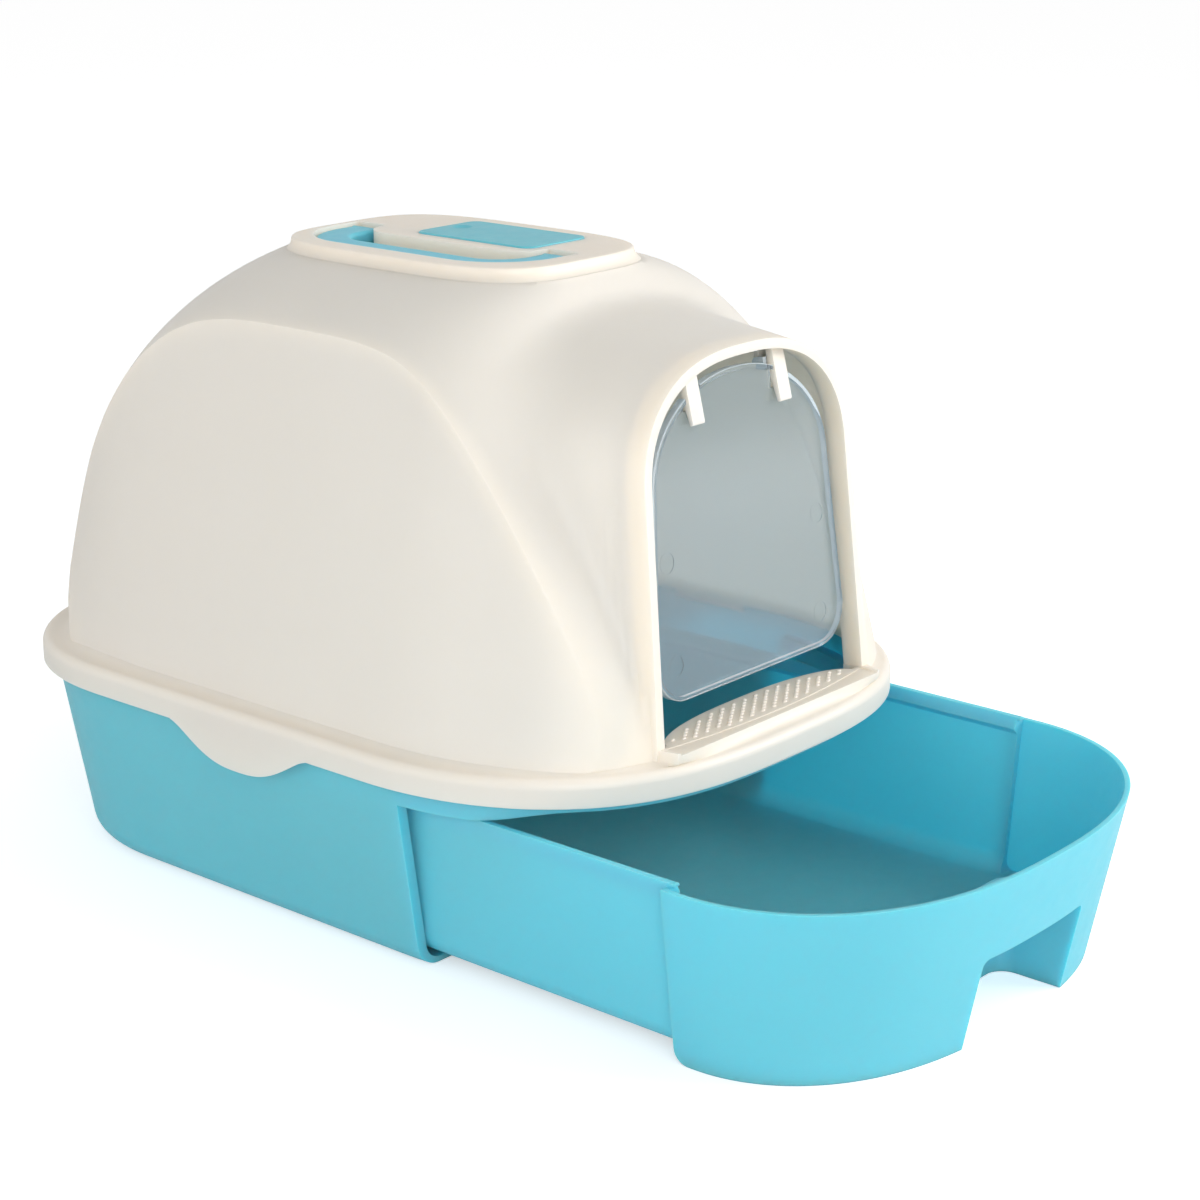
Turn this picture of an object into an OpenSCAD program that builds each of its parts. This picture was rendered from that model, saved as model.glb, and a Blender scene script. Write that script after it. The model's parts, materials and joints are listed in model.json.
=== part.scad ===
// Hooded litter box whose tray pulls out at the front like a drawer.
// The front faces -Y, the drawer slides out along -Y and +Z is up.
// The origin is on the floor, midway along the closed box and on its centre plane.

/* [Box] */
// Width of the box over the hood's skirt
box_w = 400; // [330:1:480]
// Length of the closed box over the hood's skirt
box_l = 542; // [450:1:650]
// Height of the box over the top plate
box_h = 400; // [330:1:480]
// How far the drawer stands open in the modelled pose
drawer_open = 189; // [0:1:250]

/* [Base] */
// Height of the hood skirt's lower edge, and so of the housing that shows below it
skirt_z = 123; // [100:1:150]
// Wall of the base and of the drawer
tub_wall = 3; // [2:0.1:5]
// Width of the flange round the open front of the base
flange_w = 8; // [5:0.5:14]
// Distance from the origin to the front of that flange
flange_y = 124; // [90:1:150]
// How far the base's side wall draws in from the rim to the floor
base_draft = 21; // [8:0.5:30]
// Corner radius where the base's wall meets its floor
base_r = 15; // [8:0.5:25]
// Height of the bar that closes the base over the drawer
bar_h = 17; // [10:0.5:25]

/* [Drawer] */
// Height of the drawer's rim above the floor
drawer_h = 107; // [85:0.5:112]
// Gap between the drawer's side wall and the flange
drawer_gap = 5.5; // [3:0.5:14]
// How far the drawer's walls draw in from rim to floor
drawer_draft = 11; // [6:0.5:20]
// How much wider the drawer's front is than its body, on each side
front_step = 5.5; // [3:0.5:9]
// Height of the drawer's body above the floor
drawer_lift = 6; // [5:0.5:12]
// Width of the lip along the drawer's side rims
rim_lip = 6; // [4:0.5:10]
// Width of the finger pocket in the drawer's front
pocket_w = 104; // [80:1:130]
// Height of the finger pocket
pocket_h = 57; // [40:1:70]
// Depth of the finger pocket
pocket_d = 45; // [25:1:60]

/* [Hood] */
// Wall of the hood
hood_wall = 2.6; // [2:0.1:4]
// Height of the hood's skirt up to its shoulder
skirt_h = 17; // [12:0.5:24]
// Width of the rounded shoulder between the skirt and the dome
shoulder = 10; // [7:0.5:16]
// Width of the flat top plate
plate_w = 146; // [120:1:180]
// Length of the flat top plate
plate_l = 212; // [180:1:250]
// Length of each grip tab under the skirt
tab_l = 130; // [80:1:160]
// How far each grip tab hangs below the skirt
tab_h = 20; // [12:1:30]

/* [Entrance] */
// Width of the entrance at its sill
door_w = 194; // [160:1:210]
// Height of the entrance above the floor of the box
door_top = 358; // [330:1:364]
// Width of the entrance's front rim
rim_w = 6; // [4:0.5:9]
// Distance from the origin to the foot of the entrance
door_y = 248; // [235:1:252]
// Lean of the entrance, in mm back for each mm up
door_lean = 0.1; // [0:0.01:0.2]
// Thickness of the door flap
flap_t = 2.4; // [1.6:0.1:4]
// Gap between the flap's edge and the entrance
flap_gap = 6; // [3:0.5:10]
// Radius of the flap's hinge pins
flap_pin_r = 2.5; // [2:0.1:3.5]
// Distance between the two hinge hooks
hook_span = 83; // [60:1:110]

/* [Top fittings] */
// Width of the filter cover
cover_w = 57; // [45:1:64]
// Length of the filter cover
cover_l = 98; // [80:1:110]
// Depth of the filter bay
bay_d = 14; // [12:0.5:20]
// Diameter of the finger hole in the filter cover
hole_d = 18; // [14:0.5:24]
// Length of the carrying handle over its arms
handle_l = 187; // [160:1:192]
// Width of the handle's bar
handle_w = 22; // [16:0.5:26]
// Thickness of the handle
handle_t = 9.5; // [7:0.5:11]
// Radius of the handle's pivot pins
handle_pin_r = 3; // [2.5:0.1:4]

/* [Form] */
// Length of the curved nose of the skirt
nose_l = 165; // [120:1:190]
// Length of the curved tail of the skirt
tail_l = 146; // [100:1:180]
// Shoulder's width between the skirt and the side wall
side_shoulder = 13; // [8:0.5:20]
// How far the side walls lean in over 100 mm of height
side_lean = 20.5; // [8:0.1:26]
// Half-width that the dome would have at its foot if the side walls didn't cut it
dome_side = 210; // [196:1:240]
// Distance from the origin to the dome's front at its foot
dome_front = 259; // [240:1:265]
// Distance from the origin to the dome's back at its foot
dome_back = 246; // [235:1:262]
// Radius of the soft crease between the side wall and the dome
crease = 9; // [2:0.5:20]
// How much the porch widens on each side, in mm for each mm back
porch_flare = 0.22; // [0:0.01:0.5]
// Size of the hollow blend between the porch and the dome
porch_blend = 44; // [10:1:70]

/* [Hidden] */

cream = "#ece8df";
sky = "#6fc3dd";
clear_grey = [0.72, 0.78, 0.8, 0.6];
charcoal = "#3c3f42";

// Clearance between pieces that touch or slide
gap = 0.3;
// Thickness of the slices that a hull joins
slice = 0.01;
// Overshoot of a cut past the face that it opens
over = 1;

// --- Plan outlines ---

nose_y = box_l / 2 - nose_l;
tail_y = box_l / 2 - tail_l;

function bend(v, e) = sign(v) * pow(abs(v), e);

// Straight-sided outline with a D-shaped nose and a rounded tail, counter-clockwise
function plan(w, front, back, n = 36) = concat(
    [for (i = [0:n / 2]) let (a = 360 * i / n)
        [w * bend(cos(a), 0.72), tail_y + (back - tail_y) * pow(abs(sin(a)), 0.85)]],
    [for (i = [0:n / 2]) let (a = 360 * i / n)
        [-w * bend(cos(a), 0.678), -nose_y - (front - nose_y) * pow(abs(sin(a)), 0.959)]]);

module slab(z, points) {
    translate([0, 0, z]) linear_extrude(slice) polygon(points);
}

// Tapered tub: w, front and back are its sizes at the top, and round is its bottom edge
module tub(z0, z1, w, front, back, draft, round) {
    hull() {
        slab(z1, plan(w, front, back));
        for (a = [0:22.5:90]) {
            z = z0 + round * (1 - cos(a));
            inset = round * (1 - sin(a)) + draft * (z1 - z) / z1;
            slab(z, plan(w - inset, front - inset, back - inset));
        }
    }
}

// --- Base ---

foot_z = skirt_z + skirt_h;
base_top = foot_z - 5;
rim_in = 6.5;
base_w = box_w / 2 - rim_in;
base_front = box_l / 2 - hood_wall - 6 * gap;
base_back = box_l / 2 - rim_in;
bar_z = base_top - bar_h;
runner_x = box_w * 0.22;
runner_w = 7;

// Half-width of the base's outside at a height
function base_half(z) = base_w - base_draft * (base_top - z) / base_top;

module base_solid(inset, z0) {
    tub(z0, base_top + (z0 > 0 ? over : 0), base_w - inset, base_front - inset, base_back - inset,
        base_draft, base_r - inset);
}

// Cross-section of the way through the flange
module drawer_way() {
    r = base_r - tub_wall;
    floor_z = tub_wall + 0.5;
    hull() {
        for (side = [-1, 1]) {
            translate([side * (base_half(floor_z + r) - flange_w - r), floor_z + r]) circle(r, $fn = 32);
            translate([side * (base_half(base_top) - flange_w) - (side > 0 ? slice : 0), base_top])
                square([slice, over]);
        }
    }
}

module base() {
    flange_t = 4;
    color(sky) union() {
        difference() {
            base_solid(0, 0);
            base_solid(tub_wall, tub_wall);
            translate([-box_w, -box_l, -over]) cube([2 * box_w, box_l - flange_y, bar_z + over]);
        }
        difference() {
            intersection() {
                base_solid(0, 0);
                translate([-box_w / 2, -flange_y, 0]) cube([box_w, flange_t, bar_z + slice]);
            }
            translate([0, flange_t - flange_y + over, 0]) rotate([90, 0, 0])
                linear_extrude(flange_t + 2 * over) drawer_way();
        }
        for (side = [-1, 1]) {
            hull() {
                for (y = [runner_w / 2 - flange_y, base_back - base_r - 4 * runner_w]) {
                    translate([side * runner_x, y, tub_wall - slice])
                        cylinder(drawer_lift - tub_wall - gap + slice, d = runner_w, $fn = 24);
                }
            }
        }
    }
}

// --- Drawer, drawn closed and then pulled out ---

drawer_w = base_half(drawer_h) - flange_w - drawer_gap;
drawer_back = base_back - base_draft * (base_top - drawer_h) / base_top - tub_wall - 7;
front_y = flange_y + gap;
front_half = drawer_w + front_step;
front_d = 125.5;
front_draft_x = 13.7;
front_draft_y = 22.3;
front_start = 11;
front_foot = 9;

// D-shaped outline of the drawer's front, from its step face forward
function bow(w, start, d, n = 32) = concat([[w, -start]],
    [for (i = [0:n]) let (a = 180 * i / n)
        [w * bend(cos(a), 0.79), -front_y - front_start - d * pow(abs(sin(a)), 0.97)]],
    [[-w, -start]]);

module drawer_front(z0, inset, foot) {
    hull() {
        for (a = [0:22.5:90]) {
            z = z0 + foot * (1 - cos(a));
            k = 1 - z / drawer_h;
            slab(z, bow(front_half - inset - k * front_draft_x, front_y + inset + foot * (1 - sin(a)),
                front_d - inset - k * front_draft_y));
        }
        slab(drawer_h + (inset > 0 ? over : 0), bow(front_half - inset, front_y + inset, front_d - inset));
    }
}

module drawer_body(z0, inset) {
    tub(z0, drawer_h + (inset > 0 ? over : 0), drawer_w - inset, box_l, drawer_back - inset,
        drawer_draft, base_r - inset);
}

// What lies behind the step, reaching forward of it by ahead
module behind_step(ahead) {
    intersection() {
        children();
        translate([-box_w, -front_y - ahead, -over]) cube([2 * box_w, box_l, box_h]);
    }
}

// Arched space under the drawer's front, or its outer side when grown by the wall
module finger_pocket(grow) {
    r = 12;
    edge = 4;
    x = pocket_w / 2 + grow - r;
    h = pocket_h + grow;
    back_y = front_y + front_start + front_d - front_draft_y - pocket_d - grow;
    hull() {
        for (side = [-1, 1]) {
            for (y = [-back_y - r, -box_l / 2 - 20]) {
                translate([side * x, y, -over]) cylinder(h + over - edge, r = r, $fn = 24);
                translate([side * x, y, -over]) cylinder(h + over, r = r - edge, $fn = 24);
            }
        }
    }
}

// Space inside the drawer's body, narrower above lip_z under the sloping rim
module body_space(floor_z) {
    lip_z = drawer_h - 7;
    draft = drawer_draft * (drawer_h - lip_z) / drawer_h;
    hull() {
        slab(lip_z, plan(drawer_w - tub_wall - draft, box_l, drawer_back - tub_wall - draft));
        slab(drawer_h + over, plan(drawer_w - rim_lip, box_l, drawer_back - rim_lip));
    }
    hull() {
        slab(lip_z + slice, plan(drawer_w - tub_wall - draft, box_l, drawer_back - tub_wall - draft));
        for (a = [0:22.5:90]) {
            z = floor_z + (base_r - tub_wall) * (1 - cos(a));
            inset = tub_wall + (base_r - tub_wall) * (1 - sin(a)) + drawer_draft * (drawer_h - z) / drawer_h;
            slab(z, plan(drawer_w - inset, box_l, drawer_back - inset));
        }
    }
}

module drawer() {
    floor_z = drawer_lift + tub_wall;
    color(sky) translate([0, -drawer_open, 0]) difference() {
        union() {
            behind_step(5) drawer_body(drawer_lift, 0);
            drawer_front(0, 0, front_foot);
        }
        behind_step(12) body_space(floor_z);
        difference() {
            union() {
                drawer_front(floor_z, tub_wall, 6);
                intersection() {
                    drawer_front(-over, tub_wall, 0.5);
                    translate([-box_w, -box_l, -2 * over]) cube([2 * box_w, 2 * box_l, drawer_lift + 2 * over]);
                }
            }
            finger_pocket(tub_wall);
        }
        finger_pocket(0);
    }
}

// --- Form of the hood ---

plate_step = 8;
plate_y = -3;
dome_top = box_h - plate_step;
dome_low = foot_z - 10;
sill_z = foot_z + 7;
wall_nose = nose_y;
wall_tail = tail_y - 50;
wall_w = box_w / 2 - side_shoulder;
wall_front = box_l / 2 - 3.5;
wall_back = box_l / 2 - 14.5;
wall_bulge = 2.9;
top_w = plate_w / 2 + 4.5;
top_front = plate_l / 2 + 9;
top_back = plate_l / 2 + 1;

// Signed fraction of the way out to the leaning side walls: under 1 is inside
function wall_gauge(x, y, z) =
    let (h = (z - foot_z) / 100, w = wall_w - side_lean * h, f = wall_front - side_lean * h,
        b = wall_back - side_lean * h + wall_bulge * h * h)
    y < -wall_nose ? pow(abs(x / w), 2.95) + pow((-y - wall_nose) / (f - wall_nose), 2.09)
    : y > wall_tail ? pow(abs(x / w), 3.48) + pow((y - wall_tail) / (b - wall_tail), 3.48)
    : abs(x / w);

// Half-size of the dome at a height, from full at its foot to top under the plate
function dome_half(z, full, top, e) =
    let (closing = (dome_top - dome_low) / pow(1 - pow(top / full, e), 1 / e))
    full * pow(max(1 - pow(max(z - dome_low, 0) / closing, e), 0.0001), 1 / e);

function dome_gauge(x, y, z) =
    let (t = (z - dome_low) / (dome_top - dome_low), w = dome_half(z, dome_side, top_w, 2.9),
        l = y < 0 ? dome_half(z, dome_front, top_front, 1.34) : dome_half(z, dome_back, top_back, 1.8))
    pow(abs(x / w), 3.06 + 0.78 * t) + pow(abs(y / l), 2.94 + 0.54 * t);

// --- Form of the entrance ---

door_h = door_top - sill_z;
door_spring = door_top - 68;
door_narrow = 5;

// Plane of the entrance's front
function door_plane(z) = -door_y + door_lean * (z - sill_z);

// Half-width of the entrance below its arch
function door_half(z) = door_w / 2 - door_narrow * min(1, (z - sill_z) / (door_spring - sill_z));

// Gauge of the arch grown by side and roof
function arch_gauge(x, z, side, roof) =
    pow(abs(x / (door_half(z) + side)), 2.6)
    + (z > door_spring ? pow((z - door_spring) / (door_top - door_spring + roof), 2.2) : 0);

porch_past = 14;
hub = [0, -60, sill_z + 3];

function porch_gauge(x, y, z) =
    let (d = y - door_plane(z))
    y > hub[1] + 20 || d < -porch_past ? 2
    : arch_gauge(x, z, rim_w + porch_flare * d, rim_w + 0.1 * d);

// Outline of the arch grown by grow, in the plane of the entrance
function arch(grow, low, n = 32) = concat(
    [[-door_half(sill_z) - grow, low], [door_half(sill_z) + grow, low]],
    [for (i = [0:n]) let (a = 180 * i / n, w = door_half(door_spring) + grow, h = door_top - door_spring + grow)
        [w * bend(cos(a), 2 / 2.6), door_spring + h * pow(abs(sin(a)), 2 / 2.2)]]);

// --- Skin of the hood, cast along rays from a hub behind the entrance ---

ring_n = 76;
row_n = 16;

// Distance from the hub to the skin in direction u, by halving the step
function cast(kind, u, lo = 0, hi = 460, n = 15) =
    n == 0 ? (lo + hi) / 2
    : let (r = (lo + hi) / 2, p = hub + r * u,
        g = kind == 0 ? wall_gauge(p[0], p[1], p[2]) : kind == 1 ? dome_gauge(p[0], p[1], p[2])
            : porch_gauge(p[0], p[1], p[2]))
    g < 1 ? cast(kind, u, r, hi, n - 1) : cast(kind, u, lo, r, n - 1);

function soft_min(a, b, k) = min(a, b) - pow(max(k - abs(a - b), 0), 2) / (4 * k);
function soft_max(a, b, k) = max(a, b) + pow(max(k - abs(a - b), 0), 2) / (4 * k);

function aim(turn, rise) = [sin(turn) * cos(rise), -cos(turn) * cos(rise), sin(rise)];

function skin_reach(u) =
    let (body = soft_min(cast(0, u), cast(1, u), crease), z = hub[2] + body * u[2],
        k = porch_blend * max(0.02, min(1, (dome_top - z) / 50)))
    u[1] < 0 ? soft_max(body, cast(2, u), k) : body;

// Outline of the dome under the top plate, as a distance from the hub's axis
function top_reach(turn, lo = 0, hi = 300, n = 15) =
    n == 0 ? (lo + hi) / 2
    : let (r = (lo + hi) / 2, g = dome_gauge(r * sin(turn), hub[1] - r * cos(turn), dome_top - slice))
    g < 1 ? top_reach(turn, r, hi, n - 1) : top_reach(turn, lo, r, n - 1);

skin_foot = foot_z - 3;

// Rings of points from the foot up to the plate, closer together at the front and the top
skin = [for (j = [0:row_n]) [for (i = [0:ring_n - 1])
    let (a = 360 * i / ring_n, turn = a - 14 * sin(a), s = sin(90 * j / row_n) * 0.35 + 0.65 * j / row_n,
        top = top_reach(turn), last = atan((dome_top - hub[2]) / top),
        flat = skin_reach(aim(turn, 0)), first = atan((skin_foot - hub[2]) / flat),
        rise = first + (last - first) * s, u = aim(turn, rise))
    j == row_n ? [top * sin(turn), hub[1] - top * cos(turn), dome_top]
    : j == 0 ? [flat * sin(turn), hub[1] - flat * cos(turn), skin_foot] : hub + skin_reach(u) * u]];

function at(j, i) = skin[min(max(j, 0), row_n)][(i + ring_n) % ring_n];
function out(j, i) = let (v = cross(at(j, i + 1) - at(j, i - 1), at(j + 1, i) - at(j - 1, i))) v / norm(v);

// Closed mesh of rings, each counter-clockwise seen from above
module loft(rings) {
    n = len(rings[0]);
    m = len(rings);
    points = [for (ring = rings) for (p = ring) p];
    sides = [for (j = [0:m - 2]) for (i = [0:n - 1]) for (f = [
        [j * n + i, (j + 1) * n + i, j * n + (i + 1) % n],
        [j * n + (i + 1) % n, (j + 1) * n + i, (j + 1) * n + (i + 1) % n]]) f];
    polyhedron(points, concat([[for (i = [0:n - 1]) i]], sides, [[for (i = [n - 1:-1:0]) (m - 1) * n + i]]));
}

// Everything behind the plane of the entrance, moved back by d
module behind_door(d) {
    translate([0, d - door_y, sill_z]) rotate([-atan(door_lean), 0, 0])
        translate([-box_w, 0, -box_h]) cube([2 * box_w, 2 * box_l, 2 * box_h]);
}

module skin_solid() {
    intersection() {
        loft(skin);
        behind_door(0);
    }
}

// Space inside the hood, one wall in from its skin and closed off behind the entrance's rim
rim_depth = 14;
module skin_space() {
    inner = [for (j = [0:row_n]) [for (i = [0:ring_n - 1])
        let (p = at(j, i) - hood_wall * out(j, i))
        j == 0 ? [p[0], p[1], base_top - 2] : j == row_n ? [p[0], p[1], dome_top - hood_wall] : p]];
    intersection() {
        loft(inner);
        behind_door(rim_depth);
    }
}

// How far the skirt has drawn in at a height
function skirt_in(z) = lookup(z, [[skirt_z, 0], [skirt_z + 0.65 * skirt_h, 0.5], [skirt_z + 0.88 * skirt_h, 2],
    [foot_z + 0.5, 5], [foot_z + 3, 11]]);

function ring(z, points) = [for (p = points) [p[0], p[1], z]];

// Foot of the hood: skirt and shoulder, or the space inside them when inset by the wall
module skirt(heights, inset) {
    loft([for (z = heights) let (d = inset + skirt_in(z))
        ring(z, plan(box_w / 2 - d, box_l / 2 - d - (d > 10 ? 2 : 0), box_l / 2 - d, 48))]);
}

module grip_tabs() {
    top = tab_l / 2;
    for (side = [-1, 1]) {
        translate([side * (box_w / 2 - hood_wall / 2 - 0.15), 0, 0]) rotate([90, 0, 90])
            linear_extrude(hood_wall + 0.1, center = true)
                polygon(concat([[top, skirt_z + over], [-top, skirt_z + over]],
                    [for (i = [0:16]) let (t = i / 16)
                        [-top + 0.56 * top * t, skirt_z - tab_h * (1 - cos(180 * t)) / 2]],
                    [for (i = [16:-1:0]) let (t = i / 16)
                        [top - 0.56 * top * t, skirt_z - tab_h * (1 - cos(180 * t)) / 2]]));
    }
}

// Tongues inside the skirt that hold the hood in place on the base
module locating_tabs() {
    for (side = [-1, 1]) {
        translate([side * (base_half(base_top - 6) - tub_wall - gap - 1) - 1, -84, base_top - 6])
            cube([2, 58, foot_z - base_top + 7]);
    }
}

// Tread on the sill, with its slanting rows of beads
module sill() {
    tread_d = 25;
    half = door_half(sill_z) - 1;
    front = -door_y + 1;
    translate([0, 0, foot_z]) linear_extrude(sill_z - foot_z)
        polygon(concat([[-half - 4, front], [half + 4, front]],
            [for (i = [0:16]) let (a = 180 * i / 16) [(half + 4) * cos(a), front + 7 + (tread_d - 7) * sin(a)]]));
    for (row = [0:5]) {
        for (col = [-7:7]) {
            y = front + 3.5 + 3.6 * row;
            x = 11.6 * col + 1.6 * row - 4;
            if (abs(x) < half - 4 && y < front + 5 + (tread_d - 8) * sqrt(max(0, 1 - pow(x / half, 2)))) {
                translate([x, y, sill_z - 0.5]) hull() {
                    linear_extrude(1) scale([2, 1]) circle(1, $fn = 6);
                    linear_extrude(1.5) scale([1.3, 0.6]) circle(1, $fn = 6);
                }
            }
        }
    }
}

// --- Door hinge ---

pin_y = -door_y + 36.5;
pin_z = door_top - 13;
hook_w = 11;
hook_t = 3;
flap_back = 4.6;

// Profile of a hook in the Y-Z plane, about the pin: a long leg in front and a springy one behind
module hook_profile() {
    r = flap_pin_r + gap;
    polygon([[-r - hook_t, 26], [-r, 26], [-r, 8], [-r - 0.8, 0], [-r - 3.2, -7], [-r - 6.6, -14], [-r - 9.4, -22],
        [-r - 10, -24.7], [-r - 11.6, -25.2], [-r - 12.5, -23.4], [-r - 9.5, -15], [-r - 6.1, -7.6], [-r - 3.8, 0]]);
    polygon(concat([[r, 26], [r + hook_t, 26], [r + hook_t, -4.6], [r + 1.4, -5.4], [-0.4, -r - 0.9]],
        [for (a = [-98:14:0]) [r * cos(a), r * sin(a)]]));
}

module hooks() {
    intersection() {
        for (side = [-1, 1]) {
            translate([side * hook_span / 2 - hook_w / 2, pin_y, pin_z]) rotate([90, 0, 90])
                linear_extrude(hook_w) hook_profile();
        }
        loft(skin);
    }
}

// --- Top plate ---

function oval(w, front, back, n = 56) = [for (i = [0:n - 1]) let (a = 360 * i / n)
    [w * bend(cos(a), 0.52), plate_y + (sin(a) > 0 ? back : front) * bend(sin(a), 0.56)]];

module plate() {
    w = plate_w / 2;
    l = plate_l / 2;
    loft([ring(dome_top - 5, oval(w, l, l)), ring(dome_top - 1, oval(w + 3.5, l + 5, l + 3)),
        ring(box_h - 0.8, oval(w + 0.4, l + 0.4, l + 0.4)), ring(box_h, oval(w - 0.6, l - 0.6, l - 0.6))]);
}

pivot_x = 4;
pivot_z = box_h - 2 - handle_t / 2;
handle_y = 2.5;
handle_half = handle_l / 2;
handle_side = 56;
trough_gap = 1.2;
trough_d = handle_t + 3;
trough_end = pivot_x + handle_t / 2 + 1.2;
finger_w = 20;

// Outline round three sides of a block from x = -side to x = end, with rounded far corners
function bracket(side, half, end, r, n = 10) = concat(
    [[end, -half], [end, half]],
    [for (i = [0:n]) let (a = 90 + 90 * i / n) [-side + r + r * cos(a), half - r + r * sin(a)]],
    [for (i = [0:n]) let (a = 180 + 90 * i / n) [-side + r + r * cos(a), -half + r + r * sin(a)]]);

module trough(grow) {
    difference() {
        polygon(bracket(handle_side + trough_gap + grow, handle_half + trough_gap + grow, trough_end + grow, 46));
        polygon(bracket(handle_side - handle_w - finger_w - grow, handle_half - handle_w - trough_gap - grow,
            box_w, 22));
    }
}

cover_edge = 0.5;
cover_y = -11;
cover_x = cover_w / 2;
pad_h = 6;
bay_wall = 2;

module centred_block(w, l, h, z) {
    translate([cover_x - w / 2, cover_y - l / 2, z]) cube([w, l, h]);
}

module top_fittings_walls() {
    translate([0, handle_y, box_h - trough_d - hood_wall]) linear_extrude(trough_d + hood_wall - slice)
        trough(hood_wall);
    centred_block(cover_w, cover_l, bay_d + bay_wall - slice, box_h - bay_d - bay_wall);
}

module top_fittings_holes() {
    translate([0, handle_y, box_h - trough_d]) linear_extrude(trough_d + over) trough(0);
    translate([pivot_x, handle_y, pivot_z]) rotate([90, 0, 0])
        cylinder(2 * (handle_half + 4.5), r = handle_pin_r + gap, center = true, $fn = 32);
    centred_block(cover_w + 2 * cover_edge, cover_l + 2 * cover_edge, 2 + over, box_h - 2);
    centred_block(cover_w - 4, cover_l - 4, bay_d + over, box_h - bay_d);
    for (i = [0:8]) {
        translate([cover_x - cover_w / 2 + 6, cover_y - cover_l / 2 + 9 + i * 9.4, box_h - bay_d - bay_wall - over])
            cube([cover_w - 12, 5, bay_wall + 2 * over]);
    }
}

module hood() {
    color(cream) union() {
        difference() {
            union() {
                skin_solid();
                skirt([skirt_z, skirt_z + 0.65 * skirt_h, skirt_z + 0.88 * skirt_h, foot_z + 0.5, foot_z + 3], 0);
                plate();
            }
            skirt([skirt_z - over, skirt_z + 0.65 * skirt_h, base_top + gap], hood_wall);
            difference() {
                skin_space();
                top_fittings_walls();
            }
            top_fittings_holes();
            translate([0, rim_depth + door_lean * door_h + 4 - door_y, 0]) rotate([90, 0, 0])
                linear_extrude(90) polygon(arch(0, sill_z - 0.4));
        }
        grip_tabs();
        locating_tabs();
        sill();
        hooks();
    }
}

// --- Door flap, drawn about its pin's axis and hung with the entrance's lean ---

flap_low = 165 - 345;
notch_w = 14;
notch_h = 15;

module flap_outline() {
    top_w = door_half(door_spring) - flap_gap - 3;
    side_w = door_half(sill_z + 40) - flap_gap + 1;
    r = 25;
    polygon(concat(
        [for (i = [0:12]) let (a = -90 + 90 * i / 12) [side_w - r + r * cos(a), flap_low + r + r * sin(a)]],
        [for (i = [0:24]) let (a = 180 * i / 24)
            [top_w * bend(cos(a), 0.72), -60 + 64 * pow(abs(sin(a)), 0.9)]],
        [for (i = [0:12]) let (a = 180 + 90 * i / 12) [-side_w + r + r * cos(a), flap_low + r + r * sin(a)]]));
}

module door_flap() {
    color(clear_grey) translate([0, pin_y, pin_z]) rotate([-atan(door_lean), 0, 0]) difference() {
        union() {
            translate([0, -flap_back, 0]) rotate([90, 0, 0]) linear_extrude(flap_t) difference() {
                flap_outline();
                for (side = [-1, 1]) {
                    translate([side * hook_span / 2 - notch_w / 2, -notch_h]) square([notch_w, notch_h + 30]);
                }
            }
            for (side = [-1, 1]) {
                for (end = [-1, 1]) {
                    translate([side * hook_span / 2 + end * (notch_w / 2 + 1.5), 0, 0]) rotate([90, 0, 90]) {
                        cylinder(3, r = flap_pin_r + 1.2, center = true, $fn = 32);
                        translate([-flap_back - slice, -flap_pin_r - 1.2, -1.5])
                            cube([flap_back, 2 * flap_pin_r + 2.4, 3]);
                    }
                }
                translate([side * hook_span / 2, 0, 0]) rotate([0, 90, 0])
                    cylinder(notch_w + 2, r = flap_pin_r, center = true, $fn = 32);
            }
        }
    }
}

// --- Carrying handle, lying in its trough ---

module carry_handle() {
    color(sky) translate([0, handle_y, pivot_z]) union() {
        translate([0, 0, -handle_t / 2]) linear_extrude(handle_t) difference() {
            polygon(bracket(handle_side, handle_half, pivot_x, 45));
            polygon(bracket(handle_side - handle_w, handle_half - handle_w, pivot_x + over, 24));
        }
        for (side = [-1, 1]) {
            translate([pivot_x, side * (handle_half - handle_w / 2), 0]) rotate([90, 0, 0])
                cylinder(handle_w, d = handle_t, center = true, $fn = 48);
            translate([pivot_x, side * (handle_half + 1.6), 0]) rotate([90, 0, 0])
                cylinder(5, r = handle_pin_r, center = true, $fn = 32);
        }
    }
}

// --- Filter cover and pad ---

module filter_cover() {
    cover_t = 3;
    lip = 5;
    color(sky) difference() {
        union() {
            translate([cover_x, cover_y, box_h - 2]) linear_extrude(cover_t) rounded_rect(cover_w, cover_l, 8);
            difference() {
                centred_block(cover_w - 4 - 2 * gap, cover_l - 4 - 2 * gap, lip, box_h - 2 - lip + slice);
                centred_block(cover_w - 8, cover_l - 8, lip + 2, box_h - 4 - lip);
            }
        }
        translate([cover_x + 3.5, cover_y + 37, box_h + 1 + hole_d * 0.62]) sphere(d = hole_d * 1.45, $fn = 64);
    }
}

module rounded_rect(w, l, r) {
    polygon([for (corner = [[1, 1, 0], [-1, 1, 90], [-1, -1, 180], [1, -1, 270]]) for (i = [0:8])
        let (a = corner[2] + 90 * i / 8)
        [corner[0] * (w / 2 - r) + r * cos(a), corner[1] * (l / 2 - r) + r * sin(a)]]);
}

module filter_pad() {
    color(charcoal) centred_block(cover_w - 4 - 2 * gap, cover_l - 4 - 2 * gap, pad_h, box_h - bay_d);
}

base();
drawer();
hood();
door_flap();
carry_handle();
filter_cover();
filter_pad();
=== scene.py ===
# %% [markdown]
# # A drawer litter box in satin polypropylene
#
# The object is a hooded litter box: a blue base, a litter tray that pulls out at the
# front like a drawer, a cream hood with a porch, a frosted swinging door, a carrying
# handle and a filter cover. The rigid parts come from the CAD model as a fixed frame,
# which says where each part is and how it moves.
#
# CAD keeps its facets few, so its copies would show them, and a mould has radii that
# CAD leaves out. So the shells are made again here from the same construction sizes,
# finer and with their small radii, each on the body of the CAD part it stands for.

import json
import math

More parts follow.
